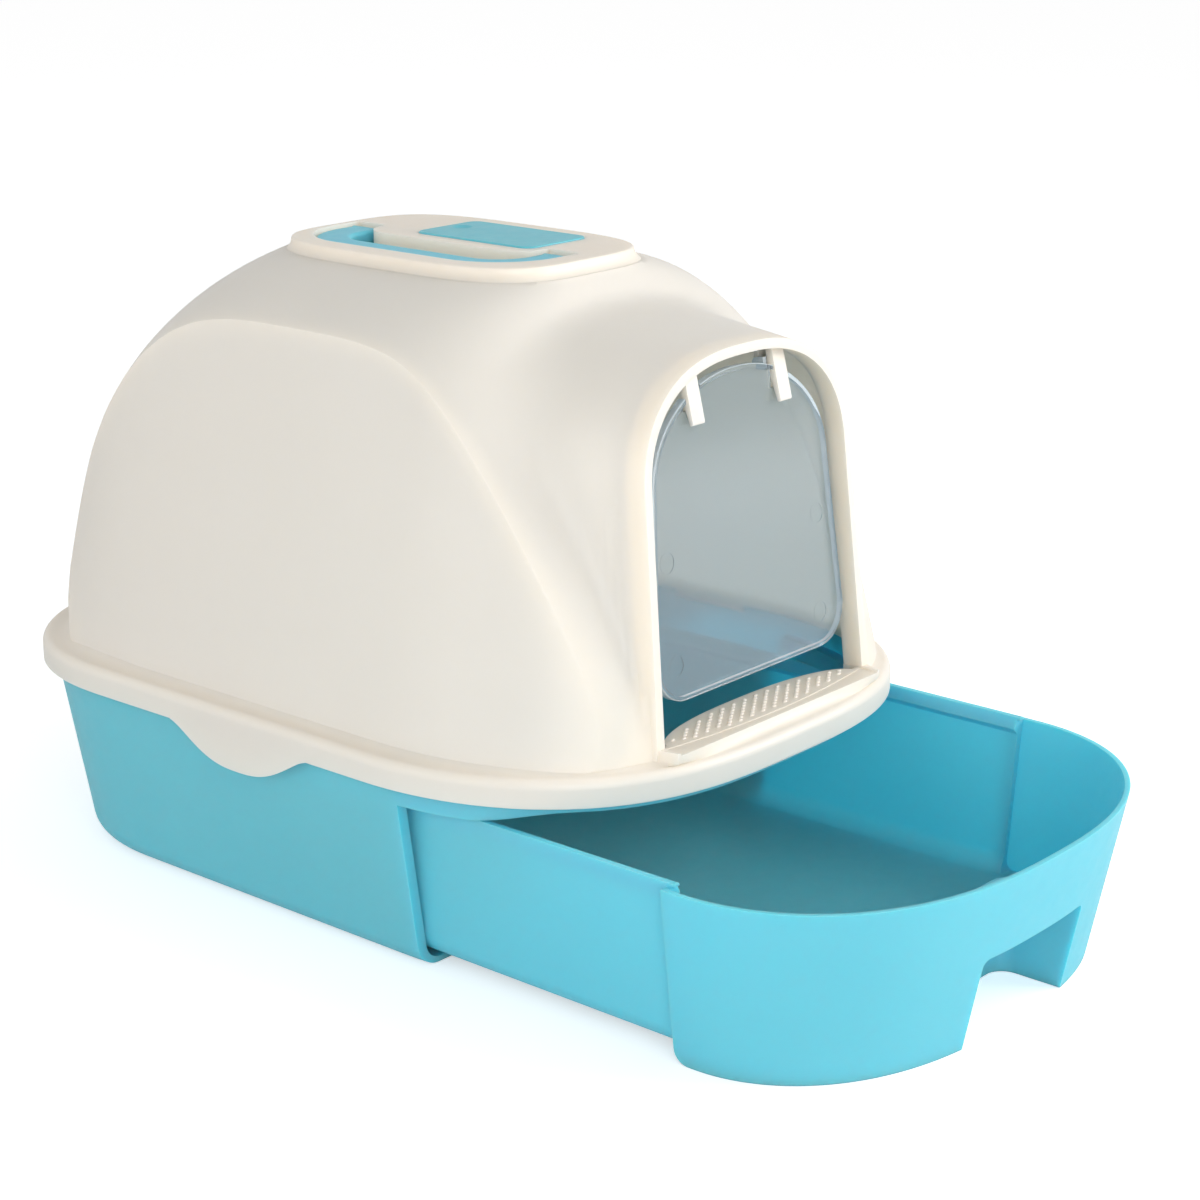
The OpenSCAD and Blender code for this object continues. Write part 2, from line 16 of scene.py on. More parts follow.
import bpy
import numpy as np
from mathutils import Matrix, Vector

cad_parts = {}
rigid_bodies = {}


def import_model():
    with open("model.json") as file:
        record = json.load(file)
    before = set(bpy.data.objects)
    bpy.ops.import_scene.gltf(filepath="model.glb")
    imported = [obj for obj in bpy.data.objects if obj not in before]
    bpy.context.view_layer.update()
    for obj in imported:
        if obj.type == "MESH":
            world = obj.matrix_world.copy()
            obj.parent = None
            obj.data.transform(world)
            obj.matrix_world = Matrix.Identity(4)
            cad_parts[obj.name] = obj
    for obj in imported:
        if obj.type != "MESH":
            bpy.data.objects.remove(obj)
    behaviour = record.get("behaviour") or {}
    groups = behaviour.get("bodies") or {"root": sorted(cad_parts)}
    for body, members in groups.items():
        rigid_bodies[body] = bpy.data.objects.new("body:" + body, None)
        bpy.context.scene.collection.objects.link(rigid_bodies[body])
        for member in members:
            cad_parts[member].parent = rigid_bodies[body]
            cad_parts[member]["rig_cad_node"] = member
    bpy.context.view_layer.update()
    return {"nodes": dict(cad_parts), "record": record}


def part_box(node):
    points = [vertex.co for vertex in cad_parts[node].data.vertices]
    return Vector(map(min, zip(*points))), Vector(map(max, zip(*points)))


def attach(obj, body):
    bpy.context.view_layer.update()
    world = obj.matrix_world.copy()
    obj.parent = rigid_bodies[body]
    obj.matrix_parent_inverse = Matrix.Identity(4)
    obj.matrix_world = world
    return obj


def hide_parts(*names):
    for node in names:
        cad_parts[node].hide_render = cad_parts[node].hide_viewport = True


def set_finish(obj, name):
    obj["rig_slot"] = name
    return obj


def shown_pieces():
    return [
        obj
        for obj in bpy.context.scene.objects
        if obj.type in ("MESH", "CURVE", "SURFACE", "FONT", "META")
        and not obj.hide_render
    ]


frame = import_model()
MM = 0.001

# %% [markdown]
# ## Camera
#
# The photograph is a catalogue view from the left front, a little above the object. The
# place, direction and lens were fitted to the picture, so that outlines can be compared
# point by point. A long lens is right here: a short one would swell the drawer.

# %% Camera at the photograph's view
CAMERA_PLACE = Vector((-1.1965, -1.1357, 0.6705))
CAMERA_LOOK = Vector((0.7278, 0.6197, -0.2938))
bpy.ops.object.camera_add(location=CAMERA_PLACE)
camera = bpy.context.object
camera.name = "studio_camera"
camera.rotation_mode = "QUATERNION"
camera.rotation_quaternion = CAMERA_LOOK.to_track_quat("-Z", "Y")
camera.data.sensor_width = 36
camera.data.lens = 79.5
camera.data.clip_end = 30
bpy.context.scene.camera = camera
print("camera looks along", [round(c, 3) for c in CAMERA_LOOK.normalized()])

# %% [markdown]
# ## Construction helpers
#
# A moulded shell is drawn as a draughtsman does: outlines at several heights, joined
# into a solid. A primitive with a subdivision surface can't follow such outlines to a
# tenth of a millimetre, so these solids are lofted from formulas, and Blender's
# boolean modifier then joins them and cuts one from the other, as a toolmaker would.

# %% Solids from outlines
CREASE_ANGLE = 28


def only(piece):
    """Selects one object and makes it the active one."""
    bpy.ops.object.select_all(action="DESELECT")
    piece.select_set(True)
    bpy.context.view_layer.objects.active = piece


def solid(name, points, faces):
    """A closed mesh object from points in millimetres, with its faces turned outwards."""
    data = bpy.data.meshes.new(name)
    data.from_pydata((np.asarray(points, float) * MM).tolist(), [], faces)
    piece = bpy.data.objects.new(name, data)
    bpy.context.scene.collection.objects.link(piece)
    only(piece)
    bpy.ops.object.mode_set(mode="EDIT")
    bpy.ops.mesh.select_all(action="SELECT")
    bpy.ops.mesh.normals_make_consistent(inside=False)
    bpy.ops.object.mode_set(mode="OBJECT")
    return piece


def loft(name, rings):
    """A solid through rings of points, all with as many points."""
    rings = np.asarray(rings, float)
    m, n = rings.shape[:2]
    faces = [list(range(n))[::-1], [(m - 1) * n + i for i in range(n)]]
    for j in range(m - 1):
        for i in range(n):
            k = (i + 1) % n
            faces.append([j * n + i, j * n + k, (j + 1) * n + k, (j + 1) * n + i])
    return solid(name, rings.reshape(-1, 3), faces)


def ring(z, outline):
    """A flat outline put at a height."""
    outline = np.asarray(outline, float)
    return np.column_stack([outline, np.full(len(outline), z)])


def prism(name, outline, low, high, axis="z"):
    """An outline drawn out along an axis: (x, y), (y, z) for axis x, or (x, z) for axis y."""
    order = {"z": (0, 1, 2), "x": (2, 0, 1), "y": (0, 2, 1)}[axis]
    return loft(name, [ring(end, outline)[:, order] for end in (low, high)])


def block(name, low, high):
    """A box from its lowest to its highest corner."""
    corners = [(low[0], low[1]), (high[0], low[1]), (high[0], high[1]), (low[0], high[1])]
    return prism(name, corners, low[2], high[2])


def combine(piece, operation, *tools):
    """Joins tools to a piece with UNION, or cuts with DIFFERENCE or INTERSECT."""
    for tool in tools:
        only(piece)
        bpy.ops.object.modifier_add(type="BOOLEAN")
        step = piece.modifiers[-1]
        step.operation = operation
        step.solver = "MANIFOLD"
        step.object = tool
        bpy.ops.object.modifier_apply(modifier=step.name)
        bpy.data.objects.remove(tool)
    return piece


def finished(piece, node, slot):
    """Smooth shading up to the crease angle, and the piece's place in the frame."""
    only(piece)
    bpy.ops.object.shade_smooth_by_angle(angle=math.radians(CREASE_ANGLE))
    bpy.ops.object.modifier_add(type="WEIGHTED_NORMAL")
    piece.modifiers[-1].keep_sharp = True
    bpy.ops.object.modifier_apply(modifier=piece.modifiers[-1].name)
    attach(piece, node)
    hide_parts(node)
    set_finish(piece, slot)
    print(piece.name, len(piece.data.polygons), "faces")
    return piece


def bend(v, power):
    """A power that keeps its sign, for outlines squarer or rounder than an ellipse."""
    return np.sign(v) * np.abs(v) ** power


# %% [markdown]
# ## Sizes
#
# The box is as wide, long and high as the CAD hood. The other sizes are those that the
# CAD construction has for the same features, so the new shells fit what moves in them.
# GAP is the play between parts, OVER is how far a cutter reaches past what it cuts, and
# JOIN is how far two solids overlap where a union joins them.

# %% Driving sizes in millimetres
hood_low, hood_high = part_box("hood")
BOX_W = (hood_high.x - hood_low.x) / MM
BOX_L = (hood_high.y - hood_low.y) / MM
BOX_H = hood_high.z / MM
SKIRT_Z, SKIRT_H, SHOULDER = 123, 17, 6
HOOD_WALL, TUB_WALL, GAP, OVER, JOIN = 2.6, 3, 0.3, 1, 0.01
SILL_UP, NOSE_LONG, TAIL_LONG = 7, 165, 146
FOOT_Z = SKIRT_Z + SKIRT_H
SILL_Z = FOOT_Z + SILL_UP
NOSE_Y, TAIL_Y = BOX_L / 2 - NOSE_LONG, BOX_L / 2 - TAIL_LONG
NOSE_ACROSS, NOSE_ALONG, TAIL_ACROSS, TAIL_ALONG = 0.678, 0.959, 0.72, 0.85
print("hood", round(BOX_W), "x", round(BOX_L), "x", round(BOX_H), "mm")


def plan(w, front, back, n=240):
    """The box seen from above: straight sides, a D-shaped nose and a rounded tail."""
    a = np.linspace(0, np.pi, n // 2 + 1)
    rise = np.abs(np.sin(a))
    tail_y = TAIL_Y + (back - TAIL_Y) * rise**TAIL_ALONG
    nose_y = -NOSE_Y - (front - NOSE_Y) * rise**NOSE_ALONG
    tail = np.column_stack([w * bend(np.cos(a), TAIL_ACROSS), tail_y])
    nose = np.column_stack([-w * bend(np.cos(a), NOSE_ACROSS), nose_y])
    return np.concatenate([tail, nose])


# %% [markdown]
# ## The hood's skin
#
# The hood is one moulding whose outside is three surfaces: side walls that lean in, a
# dome over them, and a porch that runs forward to the entrance. Where dome and walls
# meet there is a clear arched crease, and the porch runs into both in a hollow blend.
# Each surface is a gauge, a formula that is 1 on the surface and less inside. Rays
# from a hub behind the entrance find the surfaces, and a soft maximum of the reaches
# makes the hollow blend. The crease is cut by a boolean, since no grid of points
# would follow it cleanly.

# %% Gauges of the walls, the dome and the porch
PLATE_STEP = 8
DOME_TOP = BOX_H - PLATE_STEP
DOME_LOW = FOOT_Z - 10
PLATE_W, PLATE_L = 146, 212
DOOR_W, DOOR_TOP, DOOR_Y, DOOR_LEAN = 194, 358, 248, 0.1
DOOR_SPRING = DOOR_TOP - 68
RIM_W, RIM_DEPTH, RIM_T = 6, 14, 2.5
HUB = np.array([0, -60, SILL_Z + 3])
WALL_NOSE, WALL_TAIL = NOSE_Y, TAIL_Y - 50
WALL_LEAN, WALL_SIDE_IN, WALL_NOSE_IN, WALL_TAIL_IN, WALL_TAIL_CURL = 20.5, 13, 3.5, 14.5, 2.9


def wall_gauge(p):
    """The side walls, which lean in by WALL_LEAN for each 100 mm of height."""
    x, y, z = p[..., 0], p[..., 1], p[..., 2]
    h = (z - FOOT_Z) / 100
    lean = WALL_LEAN * h
    w = BOX_W / 2 - WALL_SIDE_IN - lean
    front = BOX_L / 2 - WALL_NOSE_IN - lean - WALL_NOSE
    back = BOX_L / 2 - WALL_TAIL_IN - lean + WALL_TAIL_CURL * h * h - WALL_TAIL
    across = np.abs(x / w)
    nose = across**2.95 + (np.clip(-y - WALL_NOSE, 0, None) / front) ** 2.09
    tail = across**3.48 + (np.clip(y - WALL_TAIL, 0, None) / back) ** 3.48
    return np.where(y < -WALL_NOSE, nose, np.where(y > WALL_TAIL, tail, across))


def dome_half(z, full, top, power):
    """Half-size of the dome at a height, from full at its foot to top under the plate."""
    closing = (DOME_TOP - DOME_LOW) / (1 - (top / full) ** power) ** (1 / power)
    share = 1 - (np.clip(z - DOME_LOW, 0, None) / closing) ** power
    return full * np.clip(share, 0.0001, None) ** (1 / power)


DOME_SIDE, DOME_FRONT, DOME_BACK = 210, 259, 246


def dome_gauge(p):
    """The dome over the walls, whose outline is squarer towards its top."""
    x, y, z = p[..., 0], p[..., 1], p[..., 2]
    t = (z - DOME_LOW) / (DOME_TOP - DOME_LOW)
    w = dome_half(z, DOME_SIDE, PLATE_W / 2 + 4.5, 2.9)
    front = dome_half(z, DOME_FRONT, PLATE_L / 2 + 9, 1.34)
    back = dome_half(z, DOME_BACK, PLATE_L / 2 + 1, 1.8)
    across = np.abs(x / w) ** (3.06 + 0.78 * t)
    along = np.abs(y / np.where(y < 0, front, back)) ** (2.94 + 0.54 * t)
    return across + along


def door_plane(z):
    """How far forward the leaning plane of the entrance is at a height."""
    return -DOOR_Y + DOOR_LEAN * (z - SILL_Z)


DOOR_TAPER = 5


def door_half(z):
    """Half-width of the entrance below its arch."""
    return DOOR_W / 2 - DOOR_TAPER * np.minimum(1, (z - SILL_Z) / (DOOR_SPRING - SILL_Z))


ARCH_SIDE, ARCH_ROOF = 2.6, 2.2
PORCH_FLARE, PORCH_RISE, PORCH_AHEAD, PORCH_BACK = 0.22, 0.1, 14, 20


def porch_gauge(p):
    """The porch: the entrance's arch, which widens towards the back."""
    x, y, z = p[..., 0], p[..., 1], p[..., 2]
    d = y - door_plane(z)
    side = np.abs(x / (door_half(z) + RIM_W + PORCH_FLARE * d)) ** ARCH_SIDE
    roof_high = DOOR_TOP - DOOR_SPRING + RIM_W + PORCH_RISE * d
    roof = np.clip(z - DOOR_SPRING, 0, None) / roof_high
    elsewhere = (y > HUB[1] + PORCH_BACK) | (d < -PORCH_AHEAD)
    return np.where(elsewhere, 2, side + roof**ARCH_ROOF)


# %% Skin points cast from the hub
RING_N, ROW_N = 216, 64
HALVINGS, FARTHEST, FARTHEST_TOP = 24, 460.0, 330.0
WALL, DOME, NEARER = 0, 1, 2


def reach(gauge, u):
    """Distance from the hub to a gauge's surface in directions u, by halving."""
    low, high = np.zeros(u.shape[:-1]), np.full(u.shape[:-1], FARTHEST)
    for _ in range(HALVINGS):
        middle = (low + high) / 2
        inside = gauge(HUB + middle[..., None] * u) < 1
        low, high = np.where(inside, middle, low), np.where(inside, high, middle)
    return (low + high) / 2


def soft_min(a, b, k):
    """The lesser of two, rounded off over a width of k where they are nearly equal."""
    return np.minimum(a, b) - np.clip(k - np.abs(a - b), 0, None) ** 2 / (4 * k)


def soft_max(a, b, k):
    """The greater of two, rounded off over a width of k where they are nearly equal."""
    return np.maximum(a, b) + np.clip(k - np.abs(a - b), 0, None) ** 2 / (4 * k)


def aim(turn, rise):
    """Directions from the hub: turn is 0 at the front, rise is above level."""
    return np.stack([np.sin(turn) * np.cos(rise), -np.cos(turn) * np.cos(rise), np.sin(rise)], -1)


BLEND, BLEND_RISE, BLEND_FADE = 22, 150, 50
CREASE_BLEND, WALL_PROUD = 9, 0.8


def skin_reach(kind, u):
    """Distance to the walls, to the dome or to the nearer of them, with the porch blended in."""
    wall, dome = reach(wall_gauge, u), reach(dome_gauge, u)
    body = (wall, dome, soft_min(wall, dome, CREASE_BLEND))[kind]
    porch = reach(porch_gauge, u)
    z = HUB[2] + np.minimum(wall, dome) * u[..., 2]
    low_fade = np.clip((z - SILL_Z) / BLEND_RISE, 0.3, 1)
    high_fade = np.clip((DOME_TOP - z) / BLEND_FADE, 0.02, 1)
    joined = soft_max(body, porch, BLEND * low_fade * high_fade)
    if kind == WALL:
        joined = joined + WALL_PROUD * np.clip((porch - wall) / 10, 0, 1)
    return np.where(u[..., 1] >= 0, body, joined)


def top_reach(kind, turn):
    """Distance from the hub's axis to the skin just under the plate."""
    gauge = wall_gauge if kind == WALL else dome_gauge
    low, high = np.zeros(turn.shape), np.full(turn.shape, FARTHEST_TOP)
    for _ in range(HALVINGS):
        middle = (low + high) / 2
        x, y = middle * np.sin(turn), HUB[1] - middle * np.cos(turn)
        inside = gauge(np.stack([x, y, np.full(x.shape, DOME_TOP - 0.01)], -1)) < 1
        low, high = np.where(inside, middle, low), np.where(inside, high, middle)
    return (low + high) / 2


SKIN_FOOT = FOOT_Z - 3
CROWDING, ROW_EASE = 14, 0.35


def skin(kind, more=0):
    """Rings of skin points from the foot up to the plate, reaching past both ends by more."""
    a = 2 * np.pi * np.arange(RING_N) / RING_N
    turn = a - math.radians(CROWDING) * np.sin(a)
    top = top_reach(kind, turn)
    flat = skin_reach(kind, aim(turn, 0 * turn))
    first, last = np.arctan((SKIN_FOOT - HUB[2]) / flat), np.arctan((DOME_TOP - HUB[2]) / top)
    t = np.arange(ROW_N + 1) / ROW_N
    share = (ROW_EASE * np.sin(t * np.pi / 2) + (1 - ROW_EASE) * t)[:, None]
    u = aim(np.broadcast_to(turn, (ROW_N + 1, RING_N)), first + (last - first) * share)
    rings = HUB + skin_reach(kind, u)[..., None] * u
    for row, distance, z in ((0, flat, SKIN_FOOT - more), (ROW_N, top, DOME_TOP + more)):
        rings[row] = np.column_stack(
            [distance * np.sin(turn), HUB[1] - distance * np.cos(turn), np.full(RING_N, z)]
        )
    return rings


nearer = skin(NEARER)
print("skin of", nearer.shape[0], "rings of", nearer.shape[1], "points")

# %% [markdown]
# The shell is the outside less the inside. The inside is the skin moved in by one wall
# along its normals, and it stops behind the entrance, which leaves the flat rim. Like
# the real moulding, it keeps walls under the plate for the handle's trough and the
# filter's bay.

# %% Outside, skirt and plate


def behind_door(name, back=0):
    """Everything behind the plane of the entrance, moved back."""
    low, high, far, side = -100, 600, 600, 300
    outline = [(door_plane(low) + back, low), (far, low), (far, high), (door_plane(high) + back, high)]
    return prism(name, outline, -side, side, "x")


SHOULDER_IN = 0.8 * SHOULDER
SKIRT_EDGE, FILLET_H, FILLET_IN = 0.5, 8, 2


def skirt_plan(inset, n=240):
    """The box's outline, drawn in all round."""
    return plan(BOX_W / 2 - inset, BOX_L / 2 - inset, BOX_L / 2 - inset, n)


def skirt_rings():
    """The skirt with its rounded shoulder and the hollow fillet that runs into the skin."""
    rings = [ring(SKIRT_Z, skirt_plan(SKIRT_EDGE)), ring(SKIRT_Z + SKIRT_EDGE, skirt_plan(0))]
    for a in np.radians(np.linspace(0, 90, 9)):
        inset = SHOULDER_IN * (1 - math.cos(a))
        rings.append(ring(FOOT_Z - SHOULDER + SHOULDER * math.sin(a), skirt_plan(inset)))
    edge = skirt_plan(SHOULDER_IN)
    turn = np.arctan2(edge[:, 0], HUB[1] - edge[:, 1])
    flat = skin_reach(NEARER, aim(turn, 0 * turn))
    for t in np.linspace(0.12, 1, 9):
        z = FOOT_Z + FILLET_H * t * t
        rise = np.arctan((z - HUB[2]) / flat)
        r = skin_reach(NEARER, aim(turn, rise)) * np.cos(rise) - FILLET_IN
        inner = np.column_stack([r * np.sin(turn), HUB[1] - r * np.cos(turn)])
        rings.append(ring(z, edge + (inner - edge) * (1 - (1 - t) ** 1.6)))
    return rings


PLATE_Y, PLATE_R, PLATE_PROUD = -3, 1.6, 0.3
PLATE_ACROSS, PLATE_ALONG = 0.52, 0.56


def oval(w, front, back, n=192):
    """The plate's outline, between an ellipse and a rectangle."""
    a = 2 * np.pi * np.arange(n) / n
    half = np.where(np.sin(a) > 0, back, front)
    y = PLATE_Y + half * bend(np.sin(a), PLATE_ALONG)
    return np.column_stack([w * bend(np.cos(a), PLATE_ACROSS), y])


def plate_rings():
    """The plate with a hollow foot and a small radius on its edge."""
    half_w, half_l = PLATE_W / 2, PLATE_L / 2
    rings = [ring(DOME_TOP - 5, oval(half_w, half_l, half_l))]
    for t in np.linspace(0, 1, 9):
        hollow = (1 - t) ** 2
        z = DOME_TOP - 1 + (PLATE_STEP - PLATE_R + 1) * t
        w = half_w + 3.8 * hollow + PLATE_PROUD
        front = half_l + 5 * hollow + PLATE_PROUD
        back = half_l + 3 * hollow + PLATE_PROUD
        rings.append(ring(z, oval(w, front, back)))
    for a in np.radians([30, 60, 90]):
        z = BOX_H - PLATE_R + PLATE_R * math.sin(a)
        inset = PLATE_R * (1 - math.cos(a))
        w, end = half_w + PLATE_PROUD - inset, half_l + PLATE_PROUD - inset
        rings.append(ring(z, oval(w, end, end)))
    return rings


hood = loft("hood_shell", skin(DOME))
combine(hood, "INTERSECT", loft("walls", skin(WALL, OVER)), behind_door("front"))
combine(hood, "UNION", loft("skirt", skirt_rings()), loft("plate", plate_rings()))

# %% The handle's trough and the filter's bay
HANDLE_Y, HANDLE_HALF, HANDLE_W, HANDLE_T, HANDLE_SIDE = 2.5, 187 / 2, 22, 9.5, 56
HANDLE_SUNK = 2
PIVOT_X, PIVOT_Z, PIVOT_R = 4, BOX_H - HANDLE_SUNK - HANDLE_T / 2, 3
TROUGH_GAP, TROUGH_R, TROUGH_INNER_R, FINGER_W = 1.2, 46, 22, 20
TROUGH_D = HANDLE_T + 3
TROUGH_END = PIVOT_X + HANDLE_T / 2 + TROUGH_GAP
COVER_W, COVER_L, COVER_Y, COVER_R, COVER_PLAY = 57, 98, -11, 8, 1
COVER_X, COVER_Z = COVER_W / 2, BOX_H - 2
BAY_D, BAY_WALL, BAY_LEDGE, BAY_R = 14, 2, 4, 2


def bracket(side, half, end, r, n=24):
    """Three sides of a block from x = -side to x = end, with rounded far corners."""
    a, b = np.radians(np.linspace(90, 180, n)), np.radians(np.linspace(180, 270, n))
    upper = np.column_stack([-side + r + r * np.cos(a), half - r + r * np.sin(a)])
    lower = np.column_stack([-side + r + r * np.cos(b), -half + r + r * np.sin(b)])
    return np.concatenate([[(end, half)], upper, lower, [(end, -half)]])


def u_shape(outer, inner):
    """The outline between two brackets, in the plane of the plate."""
    return np.concatenate([outer, inner[::-1]]) + (0, HANDLE_Y)


def trough(name, low, high, grow):
    """The handle's trough with the fingers' room inside it, from low to high."""
    end = TROUGH_END + grow
    side, half = HANDLE_SIDE + TROUGH_GAP + grow, HANDLE_HALF + TROUGH_GAP + grow
    outer = bracket(side, half, end, TROUGH_R)
    side, half = HANDLE_SIDE - HANDLE_W - FINGER_W - grow, HANDLE_HALF - HANDLE_W - TROUGH_GAP - grow
    inner = bracket(side, half, end, TROUGH_INNER_R)
    return prism(name, u_shape(outer, inner), low, high)


def rounded(w, l, r, n=12):
    """A rectangle with rounded corners, round the filter cover's centre."""
    corners = ((1, 1, 0), (-1, 1, 90), (-1, -1, 180), (1, -1, 270))
    points = []
    for sx, sy, start in corners:
        a = np.radians(np.linspace(start, start + 90, n))
        points.append(np.column_stack([sx * (w / 2 - r) + r * np.cos(a), sy * (l / 2 - r) + r * np.sin(a)]))
    return np.concatenate(points) + (COVER_X, COVER_Y)


def cylinder_at(name, centre, radius, length, axis, n=48):
    """A pin or bore of round section along x, y or z, centred."""
    a = 2 * np.pi * np.arange(n) / n
    along = "xyz".index(axis)
    u, v = (centre[i] for i in range(3) if i != along)
    outline = np.column_stack([radius * np.cos(a) + u, radius * np.sin(a) + v])
    if axis == "y":
        outline = outline[::-1]
    return prism(name, outline, centre[along] - length / 2, centre[along] + length / 2, axis)


du = np.roll(nearer, -1, 1) - np.roll(nearer, 1, 1)
dv = np.concatenate([nearer[1:2] - nearer[:1], nearer[2:] - nearer[:-2], nearer[-1:] - nearer[-2:-1]])
outward = np.cross(du, dv)
outward /= np.linalg.norm(outward, axis=-1, keepdims=True)
cavity_rings = nearer - HOOD_WALL * outward
BASE_TOP = FOOT_Z - 5
cavity_rings[0, :, 2] = BASE_TOP - 2
cavity_rings[-1, :, 2] = DOME_TOP - HOOD_WALL
cavity = loft("cavity", cavity_rings)
combine(cavity, "INTERSECT", behind_door("rim", RIM_DEPTH))
combine(
    cavity,
    "DIFFERENCE",
    trough("trough_walls", BOX_H - TROUGH_D - HOOD_WALL, BOX_H, HOOD_WALL),
    block(
        "bay_walls",
        (COVER_X - COVER_W / 2, COVER_Y - COVER_L / 2, BOX_H - BAY_D - BAY_WALL),
        (COVER_X + COVER_W / 2, COVER_Y + COVER_L / 2, BOX_H),
    ),
)
combine(
    hood,
    "DIFFERENCE",
    loft("skirt_space", [ring(z, skirt_plan(HOOD_WALL)) for z in (SKIRT_Z - OVER, BASE_TOP + GAP)]),
    cavity,
    trough("trough", BOX_H - TROUGH_D, BOX_H + OVER, 0),
    cylinder_at(
        "pivot_bores", (PIVOT_X, HANDLE_Y, PIVOT_Z), PIVOT_R + GAP, 2 * HANDLE_HALF + 9, "y"
    ),
    prism(
        "cover_recess",
        rounded(COVER_W + COVER_PLAY, COVER_L + COVER_PLAY, COVER_R + COVER_PLAY / 2),
        COVER_Z,
        BOX_H + OVER,
    ),
    prism("bay", rounded(COVER_W - BAY_LEDGE, COVER_L - BAY_LEDGE, BAY_R), BOX_H - BAY_D, BOX_H + OVER),
)
SLOT_COUNT, SLOT_FIRST, SLOT_STEP, SLOT_W, SLOT_IN = 9, 9, 9.4, 5, 6
for i in range(SLOT_COUNT):
    y = COVER_Y - COVER_L / 2 + SLOT_FIRST + SLOT_STEP * i
    low = (COVER_X - COVER_W / 2 + SLOT_IN, y, BOX_H - BAY_D - BAY_WALL - OVER)
    high = (COVER_X + COVER_W / 2 - SLOT_IN, y + SLOT_W, BOX_H - BAY_D + OVER)
    combine(hood, "DIFFERENCE", block("air_slot", low, high))

# %% [markdown]
# ## Entrance, tread, hooks and tabs
#
# The entrance is an arch between an ellipse and a rectangle. Its sill is a tread with
# slanting rows of small beads that hold litter back and give a paw some grip. Two
# springy hooks hang from the roof and hold the door's pins, and long tabs under the
# skirt are where the hands lift the hood.

# %% Cut the entrance and add what is moulded to it
SILL_HALF = door_half(SILL_Z) - 0.6
SILL_Y = -DOOR_Y + 1
SILL_BOW, TREAD_D, TREAD_END, TREAD_IN = 8, 23, 6, 3


def arch(low, n=96):
    """The entrance's outline as (x, z), reaching down to low."""
    a = np.radians(np.linspace(0, 180, n))
    w, h = door_half(DOOR_SPRING), DOOR_TOP - DOOR_SPRING
    z = DOOR_SPRING + h * np.sin(a).clip(0) ** (2 / ARCH_ROOF)
    crown = np.column_stack([w * bend(np.cos(a), 2 / ARCH_SIDE), z])
    foot = door_half(SILL_Z)
    return np.concatenate([[(-foot, low), (foot, low)], crown])


def sill_front(x):
    """The tread's front edge bows forward in the middle."""
    return SILL_Y - SILL_BOW * np.clip(1 - (x / SILL_HALF) ** 2, 0, None)


def tread():
    """The tread from above: a bowed front, and a back that bulges into the box."""
    x = (SILL_HALF + TREAD_IN) * np.linspace(-1, 1, 41)
    front = np.column_stack([x, sill_front(x)])
    a = np.radians(np.linspace(0, 180, 49))
    back_x = (SILL_HALF - TREAD_END) * bend(np.cos(a), 0.8)
    back_y = SILL_Y + RIM_T + (TREAD_D - RIM_T) * np.sin(a).clip(0) ** 1.15
    right = [(SILL_HALF + TREAD_IN, SILL_Y + RIM_T)]
    left = [(-SILL_HALF - TREAD_IN, SILL_Y + RIM_T)]
    return np.concatenate([front, right, np.column_stack([back_x, back_y]), left])


BEAD_X, BEAD_Y = 2, 1.15
BEAD_PROFILE = [(1.0, -0.5), (1.0, 0.05), (0.9, 0.5), (0.65, 0.85), (0.3, 1.05)]


def bead(x, y):
    """One round-topped oval bead on the tread."""
    a = 2 * np.pi * np.arange(16) / 16
    rings = []
    for r, z in BEAD_PROFILE:
        outline = np.column_stack([x + BEAD_X * r * np.cos(a), y + BEAD_Y * r * np.sin(a)])
        rings.append(ring(SILL_Z + z, outline))
    return loft("bead", rings)


entrance_back = door_plane(DOOR_TOP) + RIM_DEPTH + 4
entrance = prism("entrance", arch(SILL_Z - 0.4), entrance_back - 90, entrance_back, "y")
combine(hood, "DIFFERENCE", entrance)
beside = block(
    "beside_tread",
    (-SILL_HALF, SILL_Y + RIM_T, SKIRT_Z),
    (SILL_HALF, SILL_Y + RIM_T + RIM_DEPTH, SILL_Z + OVER),
)
combine(beside, "DIFFERENCE", prism("tread_space", tread(), SKIRT_Z - OVER, SILL_Z + 2 * OVER))
combine(hood, "DIFFERENCE", beside)
combine(hood, "UNION", prism("tread_plate", tread(), FOOT_Z, SILL_Z))

beads = []
BEAD_ROW, BEAD_STEP, BEAD_SLANT = 2.8, 10.9, 1.5
BEAD_FIRST_X, BEAD_FIRST_Y = 4, 5.5
BEAD_SIDE_IN, BEAD_FRONT_IN, BEAD_BACK_IN = 11, 4, 2
for row in range(8):
    for column in range(-9, 9):
        y = SILL_Y - SILL_BOW + BEAD_FIRST_Y + BEAD_ROW * row
        x = BEAD_STEP * column + BEAD_SLANT * BEAD_ROW * row + BEAD_FIRST_X
        bulge = max(0, 1 - (abs(x) / (SILL_HALF - TREAD_END)) ** 2.3) ** 0.6
        back_y = SILL_Y - BEAD_BACK_IN + (TREAD_D - BEAD_BACK_IN) * bulge
        if abs(x) < SILL_HALF - BEAD_SIDE_IN and sill_front(x) + BEAD_FRONT_IN < y < back_y:
            beads.append(bead(x, y))
only(beads[0])
for other in beads:
    other.select_set(True)
bpy.ops.object.join()
combine(hood, "UNION", beads[0])

# %% Hooks, grip tabs and locating tongues
PIN_Y, PIN_Z, PIN_R = -DOOR_Y + 36.5, DOOR_TOP - 13, 2.5
HOOK_SPAN, HOOK_W, HOOK_T, HOOK_UP = 83, 11, 3, 26


